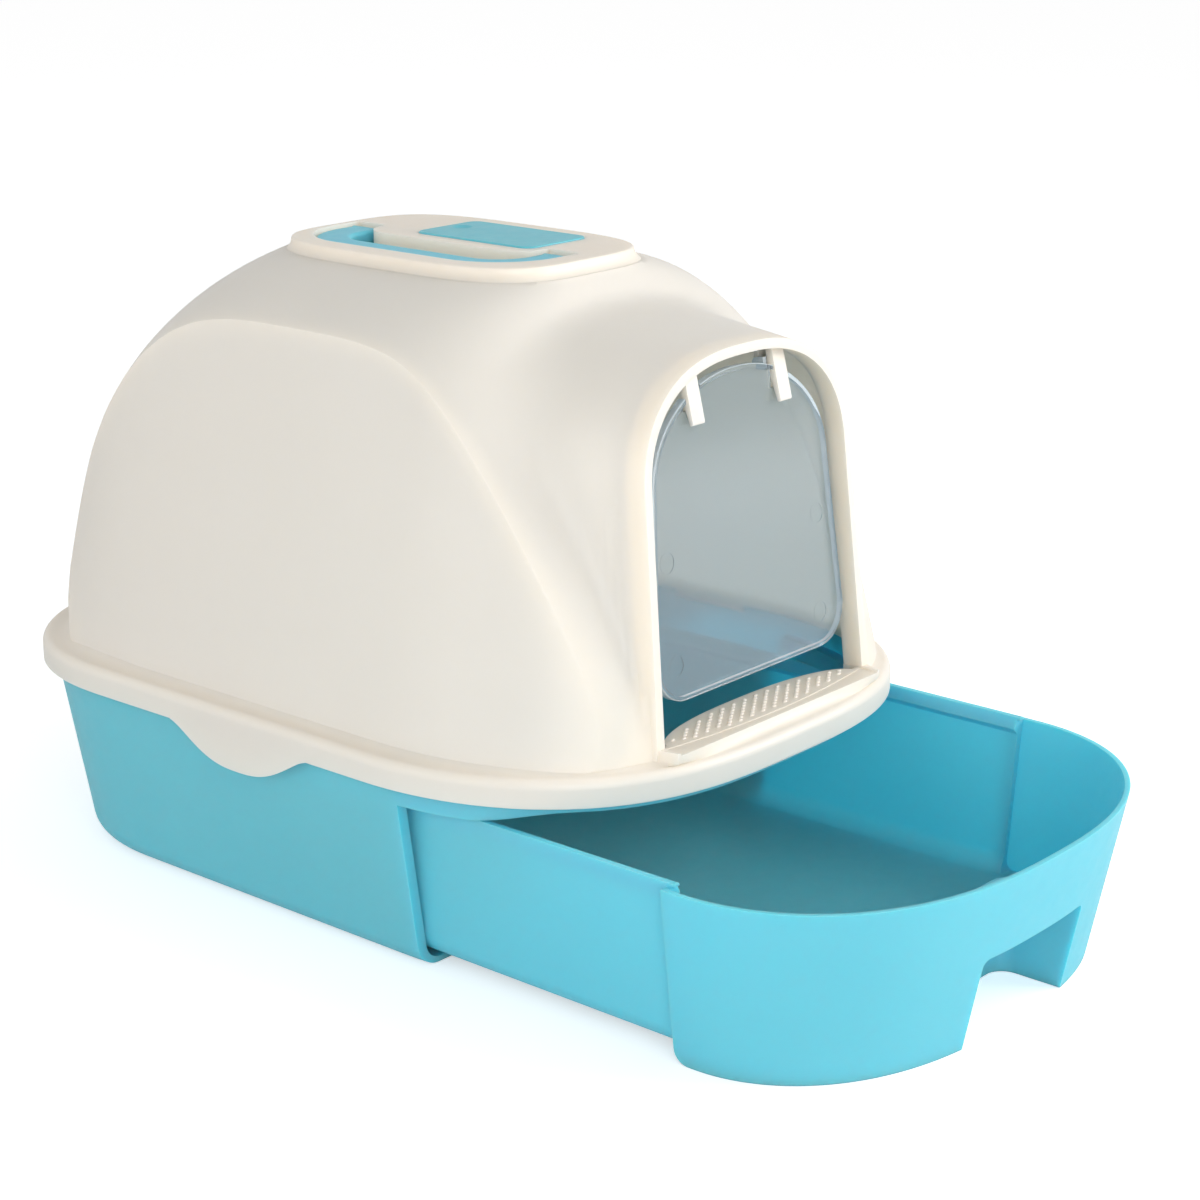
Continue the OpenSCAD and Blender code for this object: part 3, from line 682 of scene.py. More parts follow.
def hook_profiles():
    """The long leg in front of the pin and the springy one behind it, as (y, z)."""
    r = PIN_R + GAP
    a = np.radians(np.arange(-98, 1, 7))
    cup = np.column_stack([r * np.cos(a), r * np.sin(a)])
    front = [(-r - HOOK_T, HOOK_UP), (-r, HOOK_UP), (-r, 8), (-r - 0.8, 0), (-r - 3.2, -7)]
    front += [(-r - 6.4, -14), (-r - 8.8, -19.5), (-r - 9.6, -21.6), (-r - 10.6, -22.2)]
    front += [(-r - 11.6, -21.6), (-r - 11.8, -20.4), (-r - HOOK_T - 0.6, 12)]
    back = [(r, HOOK_UP), (r + HOOK_T, HOOK_UP), (r + HOOK_T, -4.6), (r + 1.4, -5.4), (-0.4, -r - 0.9)]
    return [np.array(front), np.concatenate([back, cup])]


hooks = []
for side in (-1, 1):
    for profile in hook_profiles():
        middle = side * HOOK_SPAN / 2
        hooks.append(prism("hook", profile + (PIN_Y, PIN_Z), middle - HOOK_W / 2, middle + HOOK_W / 2, "x"))
for hook in hooks:
    combine(hook, "INTERSECT", loft("skin", nearer))
combine(hood, "UNION", *hooks)

TAB_L, TAB_H, TAB_IN, TAB_PROUD = 122, 20.5, 0.15, 0.05
BASE_IN, BASE_DRAFT = 6.5, 21
TONGUE_T, TONGUE_H, TONGUE_FRONT, TONGUE_BACK = 2, 6, -84, -26
t = np.linspace(-1, 1, 81)[1:-1]
lower = np.column_stack([t * TAB_L / 2, SKIRT_Z - TAB_H * (1 - np.abs(t) ** 2.6) ** 1.7])
tab = np.concatenate([[(TAB_L / 2, SKIRT_Z + OVER), (-TAB_L / 2, SKIRT_Z + OVER)], lower])
for side in (-1, 1):
    middle = side * (BOX_W / 2 - HOOD_WALL / 2 - TAB_IN)
    low_x, high_x = middle - HOOD_WALL / 2 - TAB_PROUD, middle + HOOD_WALL / 2 + TAB_PROUD
    combine(hood, "UNION", prism("grip_tab", tab, low_x, high_x, "x"))
    base_inside = BOX_W / 2 - BASE_IN - BASE_DRAFT * TONGUE_H / BASE_TOP - TUB_WALL
    middle = side * (base_inside - GAP - TONGUE_T / 2)
    low = (middle - TONGUE_T / 2, TONGUE_FRONT, BASE_TOP - TONGUE_H)
    high = (middle + TONGUE_T / 2, TONGUE_BACK, FOOT_Z + OVER)
    combine(hood, "UNION", block("locating_tongue", low, high))
finished(hood, "hood", "hood_plastic")

# %% [markdown]
# ## Base and drawer
#
# Both are deep tubs with a draft, so that they leave the mould, and a round lower edge.
# The base is cut away at the front, where a flange frames the drawer's way in and a bar
# closes the base over it. A ledge on the bar's inner side is a guess: it closes the
# view past the drawer's rim. The drawer's body runs on two rails, and its D-shaped front
# is wider than the body, so a step shows on each side. A pocket under the front takes
# the fingers. The real drawer also has a lip along its side rims, thicker than the wall.

# %% Base
BASE_W, BASE_BACK = BOX_W / 2 - BASE_IN, BOX_L / 2 - BASE_IN
BASE_FRONT = BOX_L / 2 - HOOD_WALL - 6 * GAP
BASE_R, FLANGE_W, FLANGE_Y, FLANGE_T = 15, 8, 124, 4
BAR_Z, BAR_DIP, BAR_DIP_L, BAR_RISE_L = BASE_TOP - 17, 8.5, 45, 55
LEDGE_W, LEDGE_IN, LEDGE_T = 12, 0.5, 3
RAIL_X, RAIL_W = 0.22 * BOX_W, 7
DRAWER_LIFT = 6


def base_half(z):
    """Half-width of the base's outside at a height."""
    return BASE_W - BASE_DRAFT * (BASE_TOP - z) / BASE_TOP


def tub(name, low, high, w, front, back, draft, r, top=0):
    """A tapered tub with a round lower edge: w, front and back are its sizes at the top."""
    rings = []
    for a in np.radians(np.linspace(0, 90, 10)):
        z = low + r * (1 - math.cos(a))
        inset = r * (1 - math.sin(a)) + draft * (high - z) / high
        rings.append(ring(z, plan(w - inset, front - inset, back - inset)))
    rings.append(ring(high, plan(w, front, back)))
    if top:
        rings.append(ring(high + top, plan(w, front, back)))
    return loft(name, rings)


def base_tub(name, inset, low, top=0):
    """The base's outside, or its inside when drawn in by a wall."""
    w, front, back, r = (size - inset for size in (BASE_W, BASE_FRONT, BASE_BACK, BASE_R))
    return tub(name, low, BASE_TOP, w, front, back, BASE_DRAFT, r, top)


def drawer_way():
    """The way through the flange: straight leaning sides and round lower corners."""
    r = BASE_R - TUB_WALL
    low = TUB_WALL + 0.5
    lean = math.degrees(math.atan(BASE_DRAFT / BASE_TOP))
    a = np.radians(np.linspace(-90, -lean, 12))
    x = base_half(low + r) - FLANGE_W - r
    right = np.column_stack([x + r * np.cos(a), low + r + r * np.sin(a)])
    top = base_half(BASE_TOP) - FLANGE_W
    left = right[::-1] * (-1, 1)
    upper = [(top, BASE_TOP), (top, BASE_TOP + OVER), (-top, BASE_TOP + OVER), (-top, BASE_TOP)]
    return np.concatenate([right, upper, left])


def open_front():
    """What is cut away at the front, as (y, z): the bar over it is deeper beside the flange."""
    y = np.linspace(-FLANGE_Y, -FLANGE_Y - BAR_DIP_L - BAR_RISE_L, 25)
    t = ((-FLANGE_Y - BAR_DIP_L - y) / BAR_RISE_L).clip(0)
    z = BAR_Z - BAR_DIP * (1 - t * t * (3 - 2 * t))
    edge = np.column_stack([y, z])
    return np.concatenate([[(-BOX_L, -OVER), (-FLANGE_Y, -OVER)], edge, [(-BOX_L, BAR_Z)]])


base = base_tub("base_shell", 0, 0)
flange = base_tub("flange", 0, 0)
combine(
    flange,
    "INTERSECT",
    block("flange_slice", (-BOX_W, -FLANGE_Y, -OVER), (BOX_W, FLANGE_T - FLANGE_Y, BAR_Z + JOIN)),
)
combine(
    flange,
    "DIFFERENCE",
    prism("drawer_way", drawer_way(), -FLANGE_Y - OVER, FLANGE_T - FLANGE_Y + OVER, "y"),
)
combine(base, "DIFFERENCE", base_tub("base_space", TUB_WALL, TUB_WALL, OVER))
ledge = base_tub("bar_ledge", TUB_WALL - LEDGE_IN, 0)
low, high = (-BOX_W, -BOX_L, BAR_Z - BAR_DIP - OVER), (BOX_W, -FLANGE_Y, BAR_Z + LEDGE_T)
combine(ledge, "INTERSECT", block("ledge_slice", low, high))
combine(ledge, "DIFFERENCE", base_tub("ledge_space", LEDGE_W, TUB_WALL, OVER))
combine(base, "UNION", ledge)
combine(base, "DIFFERENCE", prism("open_front", open_front(), -BOX_W, BOX_W, "x"))
combine(base, "UNION", flange)
for side in (-1, 1):
    ends = []
    for centre, start in ((BASE_BACK - BASE_R - 4 * RAIL_W, 0), (RAIL_W / 2 - FLANGE_Y, 180)):
        a = np.radians(np.linspace(start, start + 180, 13))
        x, y = side * RAIL_X + RAIL_W / 2 * np.cos(a), centre + RAIL_W / 2 * np.sin(a)
        ends.append(np.column_stack([x, y]))
    combine(base, "UNION", prism("rail", np.concatenate(ends), TUB_WALL - JOIN, DRAWER_LIFT - GAP))
finished(base, "base", "tray_plastic")

# %% Drawer, drawn closed and then pulled out as the frame has it
DRAWER_H, RIM_RISE, RIM_LIP, DRAWER_DRAFT = 107, 2.5, 4, 11
LIP_LOW, LIP_HIGH, LIP_UNDERCUT = 11, 7, 3
SIDE_H = DRAWER_H + RIM_RISE
STEP_W, BACK_ROOM = 5.5, 7
DRAWER_W = base_half(DRAWER_H) - FLANGE_W - STEP_W
DRAWER_BACK = BASE_BACK - BASE_DRAFT * (BASE_TOP - DRAWER_H) / BASE_TOP - TUB_WALL - BACK_ROOM
FRONT_Y = FLANGE_Y + GAP
FRONT_HALF, FRONT_D, FRONT_START = DRAWER_W + STEP_W, 125.5, 11
FRONT_DRAFT_X, FRONT_DRAFT_Y = 13.7, 22.3
FRONT_ACROSS, FRONT_ALONG = 0.79, 0.97
POCKET_W, POCKET_H, POCKET_D, POCKET_R, POCKET_EDGE = 104, 57, 45, 12, 5


def bow(w, start, d, n=160):
    """The D-shaped outline of the drawer's front, from its step face forward."""
    a = np.linspace(0, np.pi, n + 1)
    y = -FRONT_Y - FRONT_START - d * np.abs(np.sin(a)) ** FRONT_ALONG
    nose = np.column_stack([w * bend(np.cos(a), FRONT_ACROSS), y])
    return np.concatenate([[(w, -start)], nose, [(-w, -start)]])


def front_tub(name, low, inset, foot, top=0):
    """The drawer's front: low is its underside, foot the radius of its lower edge."""
    rings = []
    for a in np.radians(np.linspace(0, 90, 8)):
        z = low + foot * (1 - math.cos(a))
        k = 1 - z / DRAWER_H
        start = FRONT_Y + inset + foot * (1 - math.sin(a))
        w, d = FRONT_HALF - inset - k * FRONT_DRAFT_X, FRONT_D - inset - k * FRONT_DRAFT_Y
        rings.append(ring(z, bow(w, start, d)))
    rings.append(ring(DRAWER_H + top, bow(FRONT_HALF - inset, FRONT_Y + inset, FRONT_D - inset)))
    return loft(name, rings)


def behind_step(name, ahead):
    """What lies behind the step, reaching forward of it by ahead."""
    return block(name, (-BOX_W, -FRONT_Y - ahead, -OVER), (BOX_W, BOX_L, BOX_H))


def finger_pocket(name, grow):
    """The arched space under the front, or its outer side when grown by the wall."""
    r, edge = POCKET_R, POCKET_EDGE
    half, top = POCKET_W / 2 + grow, POCKET_H + grow
    back = -(FRONT_Y + FRONT_START + FRONT_D - FRONT_DRAFT_Y - POCKET_D - grow)
    front = -BOX_L / 2 - 32

    def outline(inset):
        """The pocket's plan, drawn in towards its rounded roof."""
        points = []
        for sx, y, start in ((1, back, 0), (-1, back, 90), (-1, front, 180), (1, front, 270)):
            a = np.radians(np.linspace(start, start + 90, 10))
            cy = y - (r if y == back else -r)
            x = sx * (half - r) + (r - inset) * np.cos(a)
            points.append(np.column_stack([x, cy + (r - inset) * np.sin(a)]))
        return np.concatenate(points)

    rings = [ring(-OVER, outline(0))]
    for a in np.radians(np.linspace(0, 90, 7)):
        rings.append(ring(top - edge + edge * math.sin(a), outline(edge * (1 - math.cos(a)))))
    return loft(name, rings)


def body_space(name, low):
    """The space inside the drawer's body, drawn in under the lip of the side rims."""
    r = BASE_R - TUB_WALL
    steps = []
    for a in np.radians(np.linspace(0, 90, 10)):
        steps.append((low + r * (1 - math.cos(a)), TUB_WALL + r * (1 - math.sin(a))))
    steps += [(SIDE_H - LIP_LOW, TUB_WALL), (SIDE_H - LIP_HIGH, RIM_LIP + LIP_UNDERCUT)]
    steps += [(SIDE_H, RIM_LIP), (SIDE_H + OVER, RIM_LIP)]
    rings = []
    for z, wall in steps:
        inset = wall + DRAWER_DRAFT * max(SIDE_H - z, 0) / SIDE_H
        rings.append(ring(z, plan(DRAWER_W - inset, BOX_L, DRAWER_BACK - inset)))
    return loft(name, rings)


floor_z = DRAWER_LIFT + TUB_WALL
drawer = tub("drawer_shell", DRAWER_LIFT, SIDE_H, DRAWER_W, BOX_L, DRAWER_BACK, DRAWER_DRAFT, BASE_R)
combine(drawer, "INTERSECT", behind_step("body_part", ahead=5))
combine(drawer, "UNION", front_tub("front_outside", low=0, inset=0, foot=9))
inside = body_space("body_space", floor_z)
combine(inside, "INTERSECT", behind_step("body_inside", ahead=12))
front_inside = front_tub("front_inside", low=floor_z, inset=TUB_WALL, foot=6, top=OVER)
under_floor = front_tub("under_floor", low=-OVER, inset=TUB_WALL, foot=0.5, top=OVER)
low_part = block("low_part", (-BOX_W, -BOX_L, -2 * OVER), (BOX_W, BOX_L, DRAWER_LIFT))
combine(under_floor, "INTERSECT", low_part)
combine(front_inside, "DIFFERENCE", finger_pocket("pocket_walls", TUB_WALL))
combine(under_floor, "DIFFERENCE", finger_pocket("pocket_walls", TUB_WALL))
combine(drawer, "DIFFERENCE", inside, front_inside, under_floor, finger_pocket("pocket", 0))
drawer_low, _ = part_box("drawer")
pulled = drawer_low.y - min(v.co.y for v in drawer.data.vertices)
drawer.location.y = pulled
only(drawer)
bpy.ops.object.transform_apply(location=True, rotation=True, scale=True)
print("drawer pulled out by", round(-pulled / MM, 1), "mm")
finished(drawer, "drawer", "tray_plastic")

# %% [markdown]
# ## Carrying handle and filter cover
#
# The handle is a flat U with rounded edges that lies in its trough and turns on two
# pins at the ends of its arms. The filter cover is a thin lid with a small radius all
# round, a lip that drops into the bay, and a hollow for the fingertip, which is cut
# with a sphere, the way a ball-nosed cutter makes it in the mould.

# %% Carrying handle
HANDLE_R, HANDLE_INNER_R, HANDLE_EDGE = 45, 24, 2.6
PIVOT_REACH, PIVOT_L = 1.6, 5


def handle_plan(inset):
    """The handle from above, drawn in towards its rounded edges."""
    outer = bracket(HANDLE_SIDE - inset, HANDLE_HALF - inset, PIVOT_X, HANDLE_R - inset)
    side, half = HANDLE_SIDE - HANDLE_W + inset, HANDLE_HALF - HANDLE_W + inset
    inner = bracket(side, half, PIVOT_X, HANDLE_INNER_R + inset)
    return u_shape(outer, inner)


rings = []
for a in np.radians(np.linspace(0, 90, 7)):
    z = PIVOT_Z - HANDLE_T / 2 + HANDLE_EDGE * (1 - math.cos(a))
    rings.append(ring(z, handle_plan(HANDLE_EDGE * (1 - math.sin(a)))))
for a in np.radians(np.linspace(90, 0, 7)):
    z = PIVOT_Z + HANDLE_T / 2 - HANDLE_EDGE * (1 - math.cos(a))
    rings.append(ring(z, handle_plan(HANDLE_EDGE * (1 - math.sin(a)))))
handle = loft("handle_bracket", rings)
for side in (-1, 1):
    arm = (PIVOT_X, HANDLE_Y + side * (HANDLE_HALF - HANDLE_W / 2), PIVOT_Z)
    pin = (PIVOT_X, HANDLE_Y + side * (HANDLE_HALF + PIVOT_REACH), PIVOT_Z)
    barrel = cylinder_at("arm_end", arm, HANDLE_T / 2, HANDLE_W, "y", 64)
    combine(handle, "UNION", barrel, cylinder_at("pin", pin, PIVOT_R, PIVOT_L, "y"))
finished(handle, "carry_handle", "tray_plastic")

# %% Filter cover
COVER_T, COVER_EDGE, COVER_LIP, LIP_T = 3, 1, 5, 2
HOLLOW_D = 18
HOLLOW_X, HOLLOW_Y, HOLLOW_R, HOLLOW_UP = 3.5, 37, 1.45 / 2 * HOLLOW_D, 0.62 * HOLLOW_D
rings = [ring(COVER_Z, rounded(COVER_W, COVER_L, COVER_R))]
for a in np.radians(np.linspace(0, 90, 6)):
    inset = COVER_EDGE * (1 - math.cos(a))
    outline = rounded(COVER_W - 2 * inset, COVER_L - 2 * inset, COVER_R - inset)
    rings.append(ring(COVER_Z + COVER_T - COVER_EDGE + COVER_EDGE * math.sin(a), outline))
cover = loft("filter_lid", rings)
slack = BAY_LEDGE + 2 * GAP
hollow = BAY_LEDGE + 2 * LIP_T
lip_low = COVER_Z - COVER_LIP
lip = prism("lip", rounded(COVER_W - slack, COVER_L - slack, BAY_R), lip_low, COVER_Z + JOIN)
lip_space = prism("lip_space", rounded(COVER_W - hollow, COVER_L - hollow, 1), lip_low - 2, COVER_Z)
combine(lip, "DIFFERENCE", lip_space)
combine(cover, "UNION", lip)
bpy.ops.object.select_all(action="DESELECT")
cover_top = COVER_Z + COVER_T
centre = np.array([COVER_X + HOLLOW_X, COVER_Y + HOLLOW_Y, cover_top + HOLLOW_UP]) * MM
bpy.ops.mesh.primitive_uv_sphere_add(
    segments=64, ring_count=48, radius=HOLLOW_R * MM, location=centre
)
combine(cover, "DIFFERENCE", bpy.context.object)
finished(cover, "filter_cover", "tray_plastic")

# %% [markdown]
# ## Door
#
# The door is a thin moulded panel with a rim all round that stiffens it, two notches
# where the hooks reach in, and a pin across each notch. Four faint circles are where
# the mould's ejector pins pushed it out. It hangs with the entrance's lean.

# %% Door panel, drawn about its pins and then hung
FLAP_T, FLAP_GAP, FLAP_BACK, FLAP_RIM = 2.4, 6, 4.6, 2.6
FLAP_FOOT, FLAP_TOP_GAP, FLAP_R = 165, 9, 25
NOTCH_W, NOTCH_H, LUG_W, LUG_R = 14, 15, 3, PIN_R + 1.2
EJECTOR_MARKS, EJECTOR_R, EJECTOR_D = ((70, 186), (72, 247)), 6.2, 0.6


def flap_outline(inset):
    """Rounded lower corners, straight sides and an elliptical top, about the pins."""
    low, rise = FLAP_FOOT - PIN_Z, DOOR_TOP - FLAP_TOP_GAP - PIN_Z
    spring = DOOR_SPRING - 5 - PIN_Z
    top_w = door_half(DOOR_SPRING) - FLAP_GAP - 3 - inset
    side_w = door_half(SILL_Z + 40) - FLAP_GAP + 1 - inset
    r = FLAP_R - inset
    corner = np.radians(np.linspace(-90, 0, 16))
    right = np.column_stack([side_w - r + r * np.cos(corner), low + inset + r + r * np.sin(corner)])
    a = np.radians(np.linspace(0, 180, 81))
    crown = np.column_stack([top_w * bend(np.cos(a), 0.95), spring + (rise - spring - inset) * np.sin(a)])
    return np.concatenate([right, crown, right[::-1] * (-1, 1)])


def sheet(name, inset, back, front):
    """A layer of the panel: y runs from back to front, away from the pins."""
    return prism(name, flap_outline(inset), -front, -back, "y")


FACE = FLAP_BACK + FLAP_T
flap = sheet("door_panel", 0, FLAP_BACK, FACE)
rim_soft = [(0.5, FACE + FLAP_RIM), (0, FACE + FLAP_RIM - 0.6), (0, FLAP_BACK + 0.2)]
rim_rings = [ring(-y, flap_outline(inset))[:, (0, 2, 1)] for inset, y in rim_soft]
rim = loft("rim", rim_rings)
combine(rim, "DIFFERENCE", sheet("rim_space", FLAP_RIM, FLAP_BACK - OVER, FACE + FLAP_RIM + OVER))
combine(flap, "UNION", rim)
for side in (-1, 1):
    middle = side * HOOK_SPAN / 2
    low = (middle - NOTCH_W / 2, -FACE - FLAP_RIM - OVER, -NOTCH_H)
    combine(flap, "DIFFERENCE", block("notch", low, (middle + NOTCH_W / 2, -FLAP_BACK + OVER, NOTCH_H)))
    for x, z in EJECTOR_MARKS:
        mark = (side * x, -FACE, z - PIN_Z)
        combine(flap, "DIFFERENCE", cylinder_at("ejector_mark", mark, EJECTOR_R, EJECTOR_D, "y"))
    for end in (-1, 1):
        lug_x = middle + end * (NOTCH_W + LUG_W) / 2
        lug = cylinder_at("lug", (lug_x, 0, 0), LUG_R, LUG_W, "x")
        web_half = LUG_W / 2 - JOIN
        web_low = (lug_x - web_half, -FLAP_BACK - JOIN, -LUG_R)
        combine(lug, "UNION", block("web", web_low, (lug_x + web_half, 0, LUG_R)))
        combine(flap, "UNION", lug)
    combine(flap, "UNION", cylinder_at("hinge_pin", (middle, 0, 0), PIN_R, NOTCH_W + 2, "x"))

# the rim's faces, outside the panel's inner outline, are marked for the material
inner = flap_outline(FLAP_RIM + 0.05) * MM
edge = flap.data.attributes.new("door_edge", "FLOAT", "FACE")
for face in flap.data.polygons:
    x, z = face.center.x, face.center.z
    ahead = np.roll(inner, -1, axis=0)
    spans = (inner[:, 1] > z) != (ahead[:, 1] > z)
    rise = np.where(spans, ahead[:, 1] - inner[:, 1], 1)
    crossing = inner[:, 0] + (z - inner[:, 1]) * (ahead[:, 0] - inner[:, 0]) / rise
    within = np.count_nonzero(spans & (crossing > x)) % 2
    edge.data[face.index].value = 1 - within
print("door edge faces", sum(item.value > 0 for item in edge.data))

flap.rotation_euler.x = -math.atan(DOOR_LEAN)
flap.location = Vector((0, PIN_Y, PIN_Z)) * MM
only(flap)
bpy.ops.object.transform_apply(location=True, rotation=True, scale=True)
finished(flap, "door_flap", "clear_plastic")

# %% [markdown]
# ## The filter pad
#
# Under the cover lies a pad of charcoal felt that takes up smell. Felt has no sharp
# edges: the pad is cut from a sheet, and its cut edges are pressed in a little. A
# primitive at the pad's size is bevelled, cut finer and then displaced by a fine
# noise, because a fibre bump alone would leave its outline as straight as plastic.

# %% Model the felt pad
PAD_EDGE, PAD_CUTS = 0.22, 18
CLUMP_SIZE, CLUMP_D = 6 * MM, 0.4 * MM
pad_low, pad_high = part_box("filter_pad")
pad_size = pad_high - pad_low
bpy.ops.object.select_all(action="DESELECT")
bpy.ops.mesh.primitive_cube_add(size=1, location=(pad_low + pad_high) / 2)
pad = bpy.context.object
pad.name = "felt_pad"
pad.scale = pad_size
bpy.ops.object.transform_apply(location=True, rotation=True, scale=True)
bpy.ops.object.mode_set(mode="EDIT")
bpy.ops.mesh.select_all(action="SELECT")
bpy.ops.mesh.bevel(offset=PAD_EDGE * min(pad_size), segments=3, affect="EDGES")
bpy.ops.mesh.select_all(action="SELECT")
bpy.ops.mesh.subdivide(number_cuts=PAD_CUTS)
bpy.ops.object.mode_set(mode="OBJECT")
fibre_clumps = bpy.data.textures.new("fibre_clumps", "CLOUDS")
fibre_clumps.noise_scale = CLUMP_SIZE
bpy.ops.object.modifier_add(type="DISPLACE")
pad.modifiers[-1].texture = fibre_clumps
pad.modifiers[-1].texture_coords = "GLOBAL"
pad.modifiers[-1].mid_level = 1
pad.modifiers[-1].strength = CLUMP_D
bpy.ops.object.modifier_apply(modifier=pad.modifiers[-1].name)
bpy.ops.object.shade_smooth()
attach(pad, "hood")
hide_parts("filter_pad")
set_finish(pad, "filter_felt")
print("felt pad", len(pad.data.polygons), "faces")

# %% [markdown]
# ## Colours and nodes
#
# Paint and plastic colours are written as sRGB hex codes, as a designer reads them from
# a swatch, while shaders need linear light, so one function turns one into the other.
# A second small function adds any node with its settings and links.

# %% Helpers for materials


def colour(code):
    """An sRGB hex code such as "7fc4d4" as a linear RGBA colour."""
    channels = [int(code[i : i + 2], 16) / 255 for i in (0, 2, 4)]
    linear = [c / 12.92 if c <= 0.04045 else ((c + 0.055) / 1.055) ** 2.4 for c in channels]
    return (*linear, 1)


def add(tree, kind, inputs=None, **settings):
    """Adds a node. Inputs are values, or sockets to link from, by socket name or number."""
    made = tree.nodes.new(kind)
    for name, value in settings.items():
        setattr(made, name, value)
    for socket, value in (inputs or {}).items():
        if isinstance(value, bpy.types.NodeSocket):
            tree.links.new(value, made.inputs[socket])
        else:
            made.inputs[socket].default_value = value
    return made


def blank(name):
    """An empty node material with its tree, object coordinates and output."""
    made = bpy.data.materials.new(name)
    made.use_nodes = True
    tree = made.node_tree
    tree.nodes.clear()
    place = add(tree, "ShaderNodeTexCoord").outputs["Object"]
    return made, tree, place, add(tree, "ShaderNodeOutputMaterial")


# %% [markdown]
# ## Satin polypropylene
#
# Base, drawer, handle, cover and hood are injection moulded polypropylene, with an IOR
# near 1.49. The mould's fine spark-eroded grain breaks up reflections, so the surface
# is satin: roughness near 0.4. The wall cools unevenly, which leaves soft waves some
# centimetres long, and the colourant is not quite even. The real grain is about
# 0.1 mm, too fine for the picture, so it is drawn at 0.7 mm. There is no gloss coat,
# because that would give the hard highlights of a lacquered part. Light also goes a
# little way into polypropylene, and the subsurface share softens its shading for that.

# %% Moulded plastic material
GRAIN = 0.7 * MM
SCUFF = 12 * MM
WAVE = 45 * MM
CLOUD = 110 * MM


def moulded(name, light, dark, roughness, glow, depth):
    """Satin polypropylene between two close colours.

    Glow is the share of subsurface light, and depth how far red, green and blue go.
    """
    made, tree, place, output = blank(name)
    cloud = add(
        tree,
        "ShaderNodeTexNoise",
        {"Vector": place, "Scale": 1 / CLOUD, "Detail": 3, "Roughness": 0.5},
    ).outputs["Fac"]
    tint = add(
        tree,
        "ShaderNodeMix",
        {0: cloud, 6: colour(dark), 7: colour(light)},
        data_type="RGBA",
    ).outputs[2]
    scuff = add(
        tree,
        "ShaderNodeTexNoise",
        {"Vector": place, "Scale": 1 / SCUFF, "Detail": 6, "Roughness": 0.65},
    ).outputs["Fac"]
    gloss = add(
        tree,
        "ShaderNodeMapRange",
        {
            "Value": scuff,
            "From Min": 0.3,
            "From Max": 0.7,
            "To Min": roughness - 0.05,
            "To Max": roughness + 0.07,
        },
    ).outputs["Result"]
    grain = add(
        tree,
        "ShaderNodeTexNoise",
        {"Vector": place, "Scale": 1 / GRAIN, "Detail": 2, "Roughness": 0.5},
    ).outputs["Fac"]
    fine = add(
        tree,
        "ShaderNodeBump",
        {"Height": grain, "Strength": 0.12, "Distance": 0.06 * MM},
    ).outputs["Normal"]
    wave = add(
        tree,
        "ShaderNodeTexNoise",
        {"Vector": place, "Scale": 1 / WAVE, "Detail": 1, "Roughness": 0.4},
    ).outputs["Fac"]
    bumped = add(
        tree,
        "ShaderNodeBump",
        {"Height": wave, "Strength": 0.35, "Distance": 0.6 * MM, "Normal": fine},
    ).outputs["Normal"]
    shader = add(
        tree,
        "ShaderNodeBsdfPrincipled",
        {
            "Base Color": tint,
            "Roughness": gloss,
            "Normal": bumped,
            "IOR": 1.49,
            "Subsurface Weight": glow,
            "Subsurface Radius": depth,
            "Subsurface Scale": 12 * MM,
        },
    )
    tree.links.new(shader.outputs["BSDF"], output.inputs["Surface"])
    return made


blue_plastic = moulded(
    "moulded_polypropylene_sky_blue",
    light="6ec8dc",
    dark="68c3d8",
    roughness=0.42,
    glow=0.8,
    depth=(0.2, 0.9, 1.0),
)
cream_plastic = moulded(
    "moulded_polypropylene_cream",
    light="f4e9db",
    dark="f1e5d6",
    roughness=0.38,
    glow=0.6,
    depth=(1.0, 0.92, 0.8),
)

# %% [markdown]
# ## Frosted door
#
# The door is moulded clear and lightly frosted by the mould's texture, so light passes
# but scatters: one sees colours behind it, with soft outlines. Principled transmission
# with a slightly rough surface does that. The panel is a real solid of about 2 mm, so
# light enters and leaves it, and each side scatters once. The rim is thicker, scatters
# more and looks paler, so its faces, marked in door_edge, let less light through.

# %% Frosted clear plastic
made, tree, place, output = blank("frosted_clear_polypropylene")
frosted_plastic = made
mist = add(
    tree,
    "ShaderNodeTexNoise",
    {"Vector": place, "Scale": 1 / (30 * MM), "Detail": 4, "Roughness": 0.55},
).outputs["Fac"]
frost = add(
    tree,
    "ShaderNodeMapRange",
    {"Value": mist, "From Min": 0.3, "From Max": 0.7, "To Min": 0.05, "To Max": 0.08},
).outputs["Result"]
speckle = add(
    tree,
    "ShaderNodeTexNoise",
    {"Vector": place, "Scale": 1 / (0.9 * MM), "Detail": 2},
).outputs["Fac"]
pitted = add(
    tree,
    "ShaderNodeBump",
    {"Height": speckle, "Strength": 0.1, "Distance": 0.03 * MM},
).outputs["Normal"]
edge = add(tree, "ShaderNodeAttribute", attribute_name="door_edge").outputs["Fac"]
clear = add(
    tree,
    "ShaderNodeMapRange",
    {"Value": edge, "From Min": 0.0, "From Max": 1.0, "To Min": 0.89, "To Max": 0.4},
).outputs["Result"]
shader = add(
    tree,
    "ShaderNodeBsdfPrincipled",
    {
        "Base Color": colour("e8f4fb"),
        "Roughness": frost,
        "Normal": pitted,
        "IOR": 1.49,
        "Transmission Weight": clear,
    },
)
tree.links.new(shader.outputs["BSDF"], output.inputs["Surface"])

# %% [markdown]
# ## Charcoal felt
#
# Needle felt of active carbon fibre: almost black, with no gloss, and a soft light
# edge where fibres stand up, which sheen gives. Two noises make the fibre clumps and
# the single fibres, drawn three times coarser than real so that they show.

